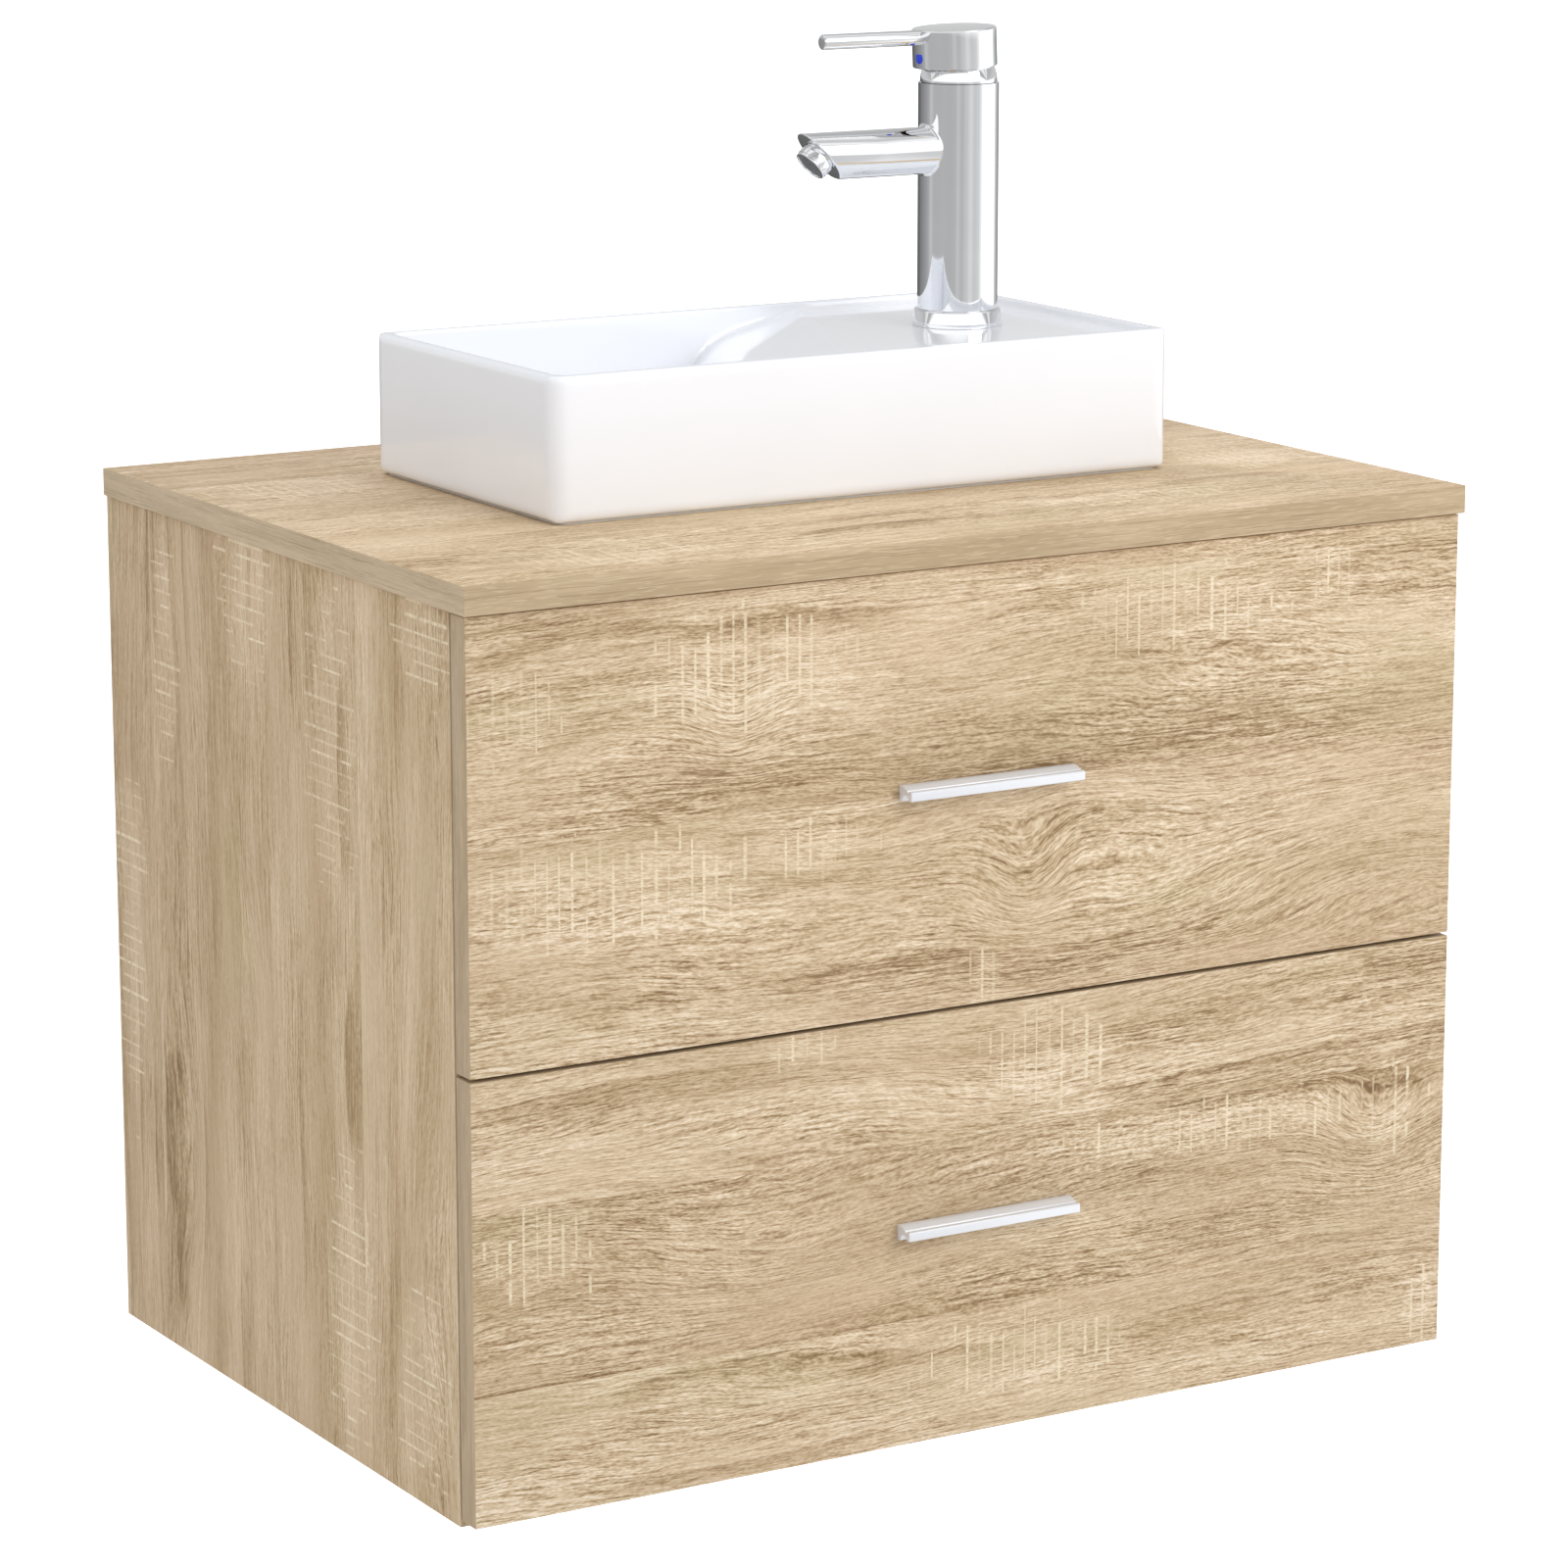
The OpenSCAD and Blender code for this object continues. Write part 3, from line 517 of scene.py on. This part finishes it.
def lathe(name, profile, centre, tilt=None, segments=128):
    """A turned solid: profile is (radius, height) in mm, from one end on the axis to the other.
    tilt is a rotation about the profile's own origin, which then moves to centre, in metres."""
    circle = [2 * math.pi * i / segments for i in range(segments)]
    bm = bmesh.new()
    rings = []
    for r, h in profile:
        on_axis = r < 1e-6
        places = [(0, 0)] if on_axis else [(r * MM * math.cos(a), r * MM * math.sin(a)) for a in circle]
        rings.append([bm.verts.new((x, y, h * MM)) for x, y in places])
    for a, b in zip(rings, rings[1:]):
        for i in range(segments):
            j = (i + 1) % segments
            quad = [a[i % len(a)], a[j % len(a)], b[j % len(b)], b[i % len(b)]]
            quad = [v for k, v in enumerate(quad) if v not in quad[:k]]
            if len(quad) > 2:
                bm.faces.new(quad)
    bmesh.ops.recalc_face_normals(bm, faces=bm.faces)
    if tilt is not None:
        bm.transform(tilt.to_4x4())
    bm.transform(Matrix.Translation(Vector(centre)))
    me = bpy.data.meshes.new(name)
    bm.to_mesh(me)
    bm.free()
    return new_object(name, me)


def fillet(points, radii, steps):
    """Rounds the inner corners of a (radius, height) profile, each by its own one of radii."""
    out = [points[0]]
    for k, radius in enumerate(radii, 1):
        p0, p1, p2 = (Vector(points[i]) for i in (k - 1, k, k + 1))
        a, b = p0 - p1, p2 - p1
        angle = a.angle(b, 0)
        if radius <= 0 or angle < 0.05 or angle > 3.1:
            out.append(points[k])
            continue
        cut = min(radius / math.tan(angle / 2), a.length * 0.49, b.length * 0.49)
        start, end = p1 + a.normalized() * cut, p1 + b.normalized() * cut
        for i in range(steps + 1):
            t = i / steps
            out.append(tuple(start * (1 - t) ** 2 + p1 * 2 * t * (1 - t) + end * t * t))
    out.append(points[-1])
    return out


def stand_in(obj, node, mat, angle=35):
    """Makes obj the visible form of a CAD node."""
    shade(obj, angle)
    paint(obj, mat)
    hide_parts(node)
    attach(obj, body_name(node))


# ---------------------------------------------------------------- wood

# the gains are painted light and shade: the worktop a little brighter, the side panels and drawer fronts
# darker, as the light falls on them
worktop_print = oak(
    "oak_worktop", X, Y, 3.0, seams=(-120, 10, 130), painted_light_gain=1.03,
    knots=((-205, -150, 60, 20, 10, 0), (150, -90, 80, 24, -10, 0)),
    patches=((-190, -168, 50, 22), (130, -150, 60, 16), (250, -60, 30, 40), (-240, 100, 40, 30)),
    lenses=((-40, -158, 60, 8, 0.9), (205, -120, 50, 9, 0.8)))
side_print = oak(
    "oak_side", Z, Y, 11.0, seams=(-85.6, 19.4, 163.4), calm=1.0, painted_light_gain=0.93,
    knots=((225, 35, 60, 18, 14, 0), (90, 120, 80, 22, 10, 0.1), (150, -150, 110, 24, -12, 0)),
    patches=((438, 45, 45, 32), (375, -55, 75, 26), (275, 200, 34, 24), (190, 200, 60, 16),
             (85, -70, 70, 26), (445, -160, 24, 30), (60, -150, 50, 26), (395, 145, 60, 14)),
    lenses=((360, -70, 70, 9, 0.9), (210, -75, 55, 10, 0.8), (120, 148, 60, 12, 1.0), (60, 140, 50, 10, 0.8)))
upper_print = oak(
    "oak_upper_front", X, Z, 5.0, seams=(350, 454), painted_light_gain=0.87,
    knots=((-148, 402, 22, 24, 11, 0), (24, 300, 24, 30, 12, 0), (190, 275, 130, 40, 0, -0.24),
           (40, 335, 60, 14, -5, 0)),
    patches=((-275, 413, 26, 20), (-138, 425, 54, 26), (-222, 320, 80, 24), (-105, 330, 28, 14),
             (125, 432, 60, 20), (0, 248, 10, 15), (215, 440, 16, 14)),
    lenses=((-230, 449, 70, 6, 0.9), (-110, 444, 75, 8, 1.0), (110, 441, 150, 7, 0.55),
            (-60, 265, 90, 6, 0.7)))
lower_print = oak(
    "oak_lower_front", X, Z, 7.0, seams=(71.5, 164), painted_light_gain=0.845,
    knots=((252, 130, 34, 28, 18, 0), (-190, 120, 110, 34, 0, 0.22), (-120, 48, 90, 20, 12, 0.1),
           (-60, 200, 90, 22, -8, 0.12)),
    patches=((-262, 140, 30, 22), (150, 148, 110, 13), (28, 44, 64, 19), (262, 140, 18, 24),
             (40, 205, 34, 26), (-110, 225, 20, 8), (285, 25, 12, 22)),
    lenses=((-165, 60, 70, 7, 1.0), (-95, 52, 60, 8, 1.0), (-35, 46, 70, 7, 0.8),
            (200, 157, 110, 6, 0.9), (262, 150, 30, 8, 1.0)))
carcass = oak("oak_carcass", X, Y, 17.0)
rail_print = oak("oak_rail", X, Z, 19.0)

band_x = edging("oak_band_x", X, Z, 1.0)
band_top = edging("oak_band_x_up", X, Y, 2.0, (176, 154, 124))
band_y = edging("oak_band_y", Y, Z, 3.0, (194, 173, 143))
band_z = edging("oak_band_z", Z, X, 4.0, (184, 162, 132))
band_zy = edging("oak_band_z_side", Z, Y, 5.0, (182, 160, 131), (150, 127, 98), 0.5)


def board(node, name, face_axis, face_mat, bands, width=0.0004):
    paint_board(softened(node, name, width), face_axis, face_mat, bands)


board("worktop", "worktop_board", Z, worktop_print, {X: band_y, Y: band_x}, 0.0005)
board("left_side", "left_side_board", X, side_print, {Y: band_z, Z: band_y})
board("right_side", "right_side_board", X, side_print, {Y: band_z, Z: band_y})
board("upper_front", "upper_front_board", Y, upper_print, {X: band_zy, Z: band_top}, 0.0005)
board("lower_front", "lower_front_board", Y, lower_print, {X: band_zy, Z: band_top}, 0.0005)
board("bottom_panel", "bottom_board", Z, carcass, {X: band_y, Y: band_x})
board("front_rail", "front_rail_board", Y, rail_print, {X: band_z, Z: band_top})
board("back_rail", "back_rail_board", Y, rail_print, {X: band_z, Z: band_top})
board("lower_back_rail", "lower_back_rail_board", Y, rail_print, {X: band_z, Z: band_top})

# ---------------------------------------------------------------- plain CAD pieces

aluminium = metal("satin_aluminium", (228, 229, 232), 0.40, grain=X, bump=0.06, metallic=0.3)
chrome = metal("polished_chrome", (236, 237, 239), 0.045)
glaze = ceramic()
rubber = plastic("black_rubber", (38, 38, 40), 0.62)
blue = plastic("blue_plastic", (30, 62, 214), 0.3)
FINISH = {"zinc_steel": metal("zinc_plated_steel", (200, 203, 207), 0.34),
          "satin_aluminium": aluminium,
          "chrome": chrome,
          "white_ceramic": glaze,
          "white_board": white_board(),
          "white_plastic": plastic("white_plastic", (232, 232, 229), 0.38),
          "white_silicone": plastic("white_silicone", (226, 227, 228), 0.5),
          "black_rubber": rubber,
          "blue_plastic": blue,
          "oak_laminate": carcass}
for part in frame["record"]["subparts"]:
    for material_slot in NODES[part["node"]].material_slots:
        material_slot.material = FINISH[part["material_slot"]]

for node in ("upper_handle", "lower_handle"):
    paint(softened(node, node + "_bar", 0.00035), aluminium)

# ---------------------------------------------------------------- basin


def cast_basin():
    """The basin's own solid with the soft edges that glaze leaves."""
    me = NODES["basin"].data.copy()
    me.materials.clear()
    obj = new_object("basin_glazed", me)
    grid = obj.modifiers.new("grid", "REMESH")
    grid.mode = "VOXEL"
    grid.voxel_size = 0.0013
    soft = obj.modifiers.new("soft", "SMOOTH")
    soft.factor = 0.5
    soft.iterations = 10
    lighter = obj.modifiers.new("lighter", "DECIMATE")
    lighter.ratio = 0.22
    apply_all(obj)
    for p in obj.data.polygons:
        p.use_smooth = True
    paint(obj, glaze)
    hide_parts("basin")
    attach(obj, body_name("basin"))


cast_basin()

# ---------------------------------------------------------------- tap
# lengths are in mm, from the deck for the column and the foot, and from the pivot for the dome and the cap

body_low, body_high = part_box("tap_body")
TX, TY = (body_low.x + body_high.x) / 2, (body_low.y + body_high.y) / 2
DECK, BODY_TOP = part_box("tap_base_ring")[0].z, body_high.z
BODY_R = (body_high.x - body_low.x) / 2 / MM
FOOT = (body_low.z - DECK) / MM
BODY_H = (BODY_TOP - DECK) / MM
PIVOT = Vector((TX, TY, BODY_TOP + 0.0005))
ALONG_X = Matrix.Rotation(math.radians(-90), 3, "Y")


def column():
    """The body as a cup: its top is open round the cartridge."""
    chamfer, inside, seat = 0.25, BODY_R - 3.5, BODY_H - 20
    outline = [(0, FOOT), (BODY_R - chamfer, FOOT), (BODY_R, FOOT + chamfer), (BODY_R, BODY_H),
               (inside, BODY_H), (inside, seat), (0, seat)]
    profile = fillet(outline, [0, 0, 0, 0.7, 0.3], 4)
    stand_in(lathe("tap_column", profile, (TX, TY, DECK)), "tap_body", chrome)


def foot_ring():
    """The ring that the body stands on, flared to the deck."""
    hole, lift = 17.2, 0.02
    outline = [(hole, lift), (BODY_R + 2.75, lift), (BODY_R + 2.6, 2.4), (BODY_R + 1.6, FOOT - 0.65),
               (BODY_R + 0.8, FOOT), (hole, FOOT), (hole, lift)]
    profile = fillet(outline, [0.3, 1.5, 0.9, 0.5, 0], 4)
    stand_in(lathe("tap_foot_ring", profile, (TX, TY, DECK)), "tap_base_ring", chrome, 50)


def dome():
    """Part of a ball round the pivot, with a hole for the stem, and under it a black ring of painted shade
    that darkens the joint line.
    """
    ball, hole, hole_z, bottom, steps = 21, 12.2, 17.1, 0.3, 28
    angles = [math.radians(54.5 - 55.2 * i / steps) for i in range(steps + 1)]
    profile = [(hole, hole_z)] + [(ball * math.cos(a), ball * math.sin(a)) for a in angles]
    profile += [(20.4, -0.55), (20.1, bottom), (hole, bottom), (hole, hole_z)]
    stand_in(lathe("tap_dome_shell", profile, PIVOT), "tap_dome", chrome)
    # painted shade: a thin black ring in the joint under the dome, standing in for the shade of the gap there
    inner, outer, low, high = 14, 20.55, -0.5, 0.28
    band = [(inner, low), (outer, low), (outer, high), (inner, high), (inner, low)]
    joint_shadow_ring = lathe("dome_joint_shadow_ring", band, PIVOT)
    shade(joint_shadow_ring)
    paint(joint_shadow_ring, rubber)
    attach(joint_shadow_ring, body_name("tap_body"))


def cap():
    """A short cylinder, a touch askew, hollowed below to clear the dome."""
    radius, top, bottom, hollow = 23, 29.3, 8.3, 21.3
    # the lower edge lies just inside the hollow's ball
    rim = math.sqrt(hollow ** 2 - 8.0 ** 2) - 0.4
    outline = [(0, top), (radius - 0.6, top), (radius, top - 0.6), (radius, bottom), (rim, bottom)]
    profile = fillet(outline, [0.6, 0.6, 0.45], 4)
    profile += [(19.2, 9.9), (17.0, 13.1), (12.0, 18.0), (0.0, 21.5)]
    obj = lathe("tap_lever_cap", profile, (0, 0, 0))
    obj.data.transform(Matrix.Translation((-0.002, 0, 0)))
    obj.data.transform(Matrix.Rotation(math.radians(-2.5), 4, "Y"))
    obj.data.transform(Matrix.Translation(PIVOT))
    stand_in(obj, "tap_cap", chrome, 50)


def lever_rod():
    low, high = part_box("lever_pin")
    radius, length = (high.z - low.z) / 2 / MM, (high.x - low.x) / MM
    profile = fillet([(0, 0), (radius, 0), (radius, length), (0, length)], [0.2, 1.0], 5)
    stand_in(lathe("lever_rod", profile, (high.x, TY, (low.z + high.z) / 2), ALONG_X, 64),
             "lever_pin", chrome, 50)


def index_disc():
    """The index dot, slightly domed."""
    low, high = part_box("index_dot")
    radius, depth = (high.z - low.z) / 2 / MM, (high.x - low.x) / MM
    profile = [(0, 0), (radius, 0), (radius, depth - 0.45), (radius - 0.5, depth - 0.15),
               (radius * 0.6, depth - 0.03), (0, depth)]
    stand_in(lathe("index_disc", profile, (high.x, TY, (low.z + high.z) / 2), ALONG_X, 64),
             "index_dot", blue, 60)


column()
foot_ring()
dome()
cap()
lever_rod()
index_disc()

# ---------------------------------------------------------------- spout

# the slanted end passes through the spout's axis where the CAD's own end does
REACH = 88.7
END_NORMAL = Vector((-math.sin(math.radians(48)), 0, -math.cos(math.radians(48))))


def spout_line(phi, radius):
    """One line of points along the spout, from inside the column to near the middle of the slanted end."""
    root, edge = 1.8, 1.1
    root_steps, edge_steps = 6, 4
    out = Vector((0, math.sin(phi), math.cos(phi)))
    # the root: an arc from the column's surface to the tube's
    y, z = (radius + root) * out.y, (radius + root) * out.z
    x = -math.sqrt(max((BODY_R + root) ** 2 - y ** 2, 0))
    middle = Vector((x, y, z))
    inward, down = Vector((-x, -y, 0)).normalized(), -out
    points = [middle + (root + 1.5) * inward]
    points += [middle + root * inward.slerp(down, k / root_steps) for k in range(root_steps + 1)]
    # the straight run, to where the slanted plane cuts this line
    side = radius * out
    x_end = -REACH - END_NORMAL.z * side.z / END_NORMAL.x
    points += [Vector((at, side.y, side.z)) for at in ((x + x_end + edge) / 2, x_end + edge)]
    # the rounded edge of the slanted end
    corner, centre = Vector((x_end, side.y, side.z)), Vector((-REACH, 0, 0))
    a, b = corner + Vector((edge, 0, 0)), corner + (centre - corner).normalized() * edge
    for k in range(1, edge_steps + 1):
        t = k / edge_steps
        points.append(a * (1 - t) ** 2 + corner * 2 * t * (1 - t) + b * t * t)
    points.append(centre + (b - centre) * 0.72)
    return points


def spout():
    """A tube out of the column with a rolled fillet at its root and a slanted end."""
    low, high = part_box("tap_spout")
    at = (TX, TY, (high.z + low.z) / 2)
    count = 128
    lines = [spout_line(2 * math.pi * i / count, (high.y - low.y) / 2 / MM) for i in range(count)]
    bm = bmesh.new()
    rings = [[bm.verts.new(p * MM) for p in ring] for ring in zip(*lines)]
    for a, b in zip(rings, rings[1:]):
        for i in range(count):
            j = (i + 1) % count
            bm.faces.new((a[i], a[j], b[j], b[i]))
    bm.faces.new(rings[-1])
    bm.faces.new(list(reversed(rings[0])))
    bmesh.ops.recalc_face_normals(bm, faces=bm.faces)
    bm.transform(Matrix.Translation(at))
    me = bpy.data.meshes.new("spout_tube")
    bm.to_mesh(me)
    bm.free()
    stand_in(new_object("spout_tube", me), "tap_spout", chrome, 50)
    aerator((TX - REACH * MM, TY, at[2]))


def aerator(at):
    """A collar with a groove, and a recessed grey screen."""
    turn = Matrix.Rotation(math.radians(-132), 3, "Y")
    collar = fillet([(0, -2), (8.9, -2), (8.9, 0.9), (9.7, 0.9), (9.7, 5.6), (9.35, 5.9), (9.35, 7.5),
                     (8.2, 7.5), (8.0, 6.75), (0, 6.75)], [0, 0.1, 0.35, 0.2, 0.1, 0.45, 0.25, 0], 3)
    stand_in(lathe("aerator_collar", collar, at, turn, 96), "tap_aerator", chrome, 40)
    disc = [(0, 6.76), (7.9, 6.76), (7.9, 6.95), (7.6, 7.0), (0, 7.02)]
    grid = lathe("aerator_screen", disc, at, turn, 64)
    shade(grid, 40)
    paint(grid, screen())
    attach(grid, body_name("tap_aerator"))


def screen():
    """Fine grey mesh in the outlet, on a flat disc whose dark gaps between the wires are painted shade of the
    holes.
    """
    g = Graph("outlet_mesh")
    x, y, z = g.xyz()
    wires_per_mm = 1.1
    along = g.add(g.mul(x, 0.67), g.mul(z, -0.74))
    wires = [g.rise(g.from_middle(g.mul(way, wires_per_mm)), 0.25, 0.42) for way in (along, y)]
    wire = g.larger(*wires)
    # the dark colour between the wires is painted shade, for the holes that the flat disc doesn't have
    g.set(Base_Color=g.mix(wire, lin(52, 53, 54), lin(138, 139, 140)), Metallic=0.3, Roughness=0.4)
    g.bump(wire, 0.6, 0.0003)
    return g.mat


spout()

# ---------------------------------------------------------------- waste


def plug_cap():
    """The pop-up plug: a flat crown with a rounded rim, a skirt and its stem."""
    low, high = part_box("waste_plug")
    top, bottom = high.z / MM, low.z / MM
    crown, rim, skirt, stem = 86.1, 20.6, 6.4, 3
    profile = [(0, top)]
    profile += [(r, top - crown + math.sqrt(crown ** 2 - r * r)) for r in (4, 8, 12, 16, 19.2)]
    edge = profile[-1][1]
    profile += [(rim - 0.4, edge - 0.35), (rim, edge - 1.0), (rim, top - skirt), (stem, top - skirt),
                (stem, bottom), (0, bottom)]
    stand_in(lathe("plug_cap", profile, ((low.x + high.x) / 2, (low.y + high.y) / 2, 0)),
             "waste_plug", chrome, 40)


plug_cap()

# ---------------------------------------------------------------- stage, light and camera


def studio_floor():
    """A wide sweep: flat, then a quarter bend, then upright behind the object."""
    near, bend_at, bend, height, steps = -6.0, 4.0, 3.0, -0.32, 8
    turns = [math.pi / 2 * s / steps for s in range(1, steps + 1)]
    line = [(near + (bend_at - near) * s / steps, 0.0) for s in range(steps + 1)]
    line += [(bend_at + bend * math.sin(a), bend * (1 - math.cos(a))) for a in turns]
    line += [(bend_at + bend, bend + 0.6 * s) for s in range(1, steps + 1)]
    bm = bmesh.new()
    rows = [[bm.verts.new((x, y, z)) for x in (-14, -7, 0, 7, 14)] for y, z in line]
    for a, b in zip(rows, rows[1:]):
        for i in range(len(a) - 1):
            bm.faces.new((a[i], a[i + 1], b[i + 1], b[i]))
    bm.transform(Matrix.Translation((0, 0, height)))
    me = bpy.data.meshes.new("studio_floor")
    bm.to_mesh(me)
    bm.free()
    obj = new_object("studio_floor", me)
    for p in obj.data.polygons:
        p.use_smooth = True
    obj.data.materials.append(studio_white())
    return obj


def studio_white():
    """Matt white, lit a little more where the camera sees it."""
    g = Graph("studio_white")
    x, y, z = g.xyz()
    seen = g.new("ShaderNodeLightPath").outputs["Is Camera Ray"]
    g.set(Base_Color=g.mix(g.noise(x, y, z, scale=0.002), lin(250, 250, 250), lin(254, 254, 254)),
          Roughness=0.9, Specular_IOR_Level=0.1,
          Emission_Color=(1, 1, 1, 1), Emission_Strength=g.mul(seen, 0.5))
    return g.mat


floor = studio_floor()
floor.visible_glossy = False


TARGET = Vector((0, 0, 0.35))


def area(name, at, size, energy):
    """A square soft light aimed at the middle of the object."""
    light = bpy.data.lights.new(name, "AREA")
    light.shape = "SQUARE"
    light.size = size
    light.energy = energy
    obj = bpy.data.objects.new(name, light)
    bpy.context.scene.collection.objects.link(obj)
    obj.location = at
    obj.rotation_euler = (TARGET - Vector(at)).to_track_quat("-Z", "Y").to_euler()
    return obj


area("key", (1.3, -3.4, 2.3), 2.4, 52)
area("top", (-0.4, 0.3, 3.4), 2.6, 7).visible_glossy = False


class Studio(Nodes):
    """The world: white to the camera, a soft light, and a room for polished metal to reflect."""

    def __init__(self, world):
        world.use_nodes = True
        super().__init__(world.node_tree)
        self.path = self.new("ShaderNodeLightPath")

    def background(self, colour, strength):
        n = self.new("ShaderNodeBackground")
        self.link(colour, n.inputs[0])
        self.link(strength, n.inputs[1])
        return n.outputs[0]

    def choose(self, flag, no, yes):
        n = self.new("ShaderNodeMixShader")
        for value, socket in zip((self.path.outputs[flag], no, yes), n.inputs):
            self.link(value, socket)
        return n.outputs[0]

    def greys(self, at, stops):
        return self.ramp(at, [(position, (v, v, v, 1)) for position, v in stops], "EASE")

    def by_direction(self):
        """A grey room with a tall soft box to the right, and a wide one above the camera."""
        split = self.new("ShaderNodeSeparateXYZ")
        self.link(self.new("ShaderNodeTexCoord").outputs["Generated"], split.inputs[0])
        x, y, z = split.outputs
        # around the horizon: 0 and 1 are -X, 0.25 is -Y, 0.5 is +X, 0.75 is +Y
        around = self.greys(
            self.mul_add(self.math("ARCTAN2", y, x), 1 / (2 * math.pi), 0.5),
            ((0.00, 0.50), (0.034, 0.51), (0.10, 0.50), (0.135, 0.52), (0.16, 0.62), (0.19, 0.53),
             (0.229, 0.64), (0.262, 0.78), (0.296, 0.66), (0.33, 0.72), (0.35, 0.94), (0.37, 1.35),
             (0.507, 1.35), (0.535, 0.62), (0.587, 0.34), (0.64, 0.08), (0.70, 0.08), (0.76, 0.16),
             (0.808, 0.26), (0.86, 0.34), (0.895, 0.42), (0.925, 0.60), (0.96, 0.50), (1.0, 0.50)))
        # above the horizon: from the camera's side, over the top, to the back
        front = self.mul_add(x, -0.51, self.mul(y, -0.86))
        over = self.greys(
            self.mul(self.math("ARCTAN2", z, front), 1 / math.pi),
            ((0.0, 1.25), (0.13, 1.25), (0.19, 0.62), (0.24, 0.46), (0.33, 0.55), (0.38, 0.95),
             (0.43, 1.1), (0.48, 0.72), (0.52, 0.66), (0.58, 1.0), (0.65, 0.78), (0.72, 0.50),
             (0.86, 0.55), (0.93, 0.62), (1.0, 0.66)))
        return self.mix(self.rise(z, -0.06, 0.04), around, over)


world = bpy.data.worlds.new("studio")
bpy.context.scene.world = world
studio = Studio(world)
soft_light = studio.background((0.955, 0.975, 1.0, 1), 0.90)
shine = studio.background(studio.by_direction(), 1.0)
white = studio.background((1, 1, 1, 1), 1.05)
seen = studio.choose("Is Camera Ray", studio.choose("Is Glossy Ray", soft_light, shine), white)
studio.link(seen, studio.new("ShaderNodeOutputWorld").inputs["Surface"])

# seen from the front left, from higher than the tap and looking down
lens = bpy.data.cameras.new("camera")
lens.sensor_width = 36.0
lens.lens = 125.04
lens.clip_end = 100
camera = bpy.data.objects.new("camera", lens)
bpy.context.scene.collection.objects.link(camera)
camera.location = (-1.4752, -2.4879, 0.9391)
yaw, pitch = math.radians(30.69), math.radians(12.24)
look = Vector((math.sin(yaw) * math.cos(pitch), math.cos(yaw) * math.cos(pitch), -math.sin(pitch)))
camera.rotation_euler = look.to_track_quat("-Z", "Y").to_euler()
bpy.context.scene.camera = camera
bpy.context.scene.view_settings.view_transform = "Standard"
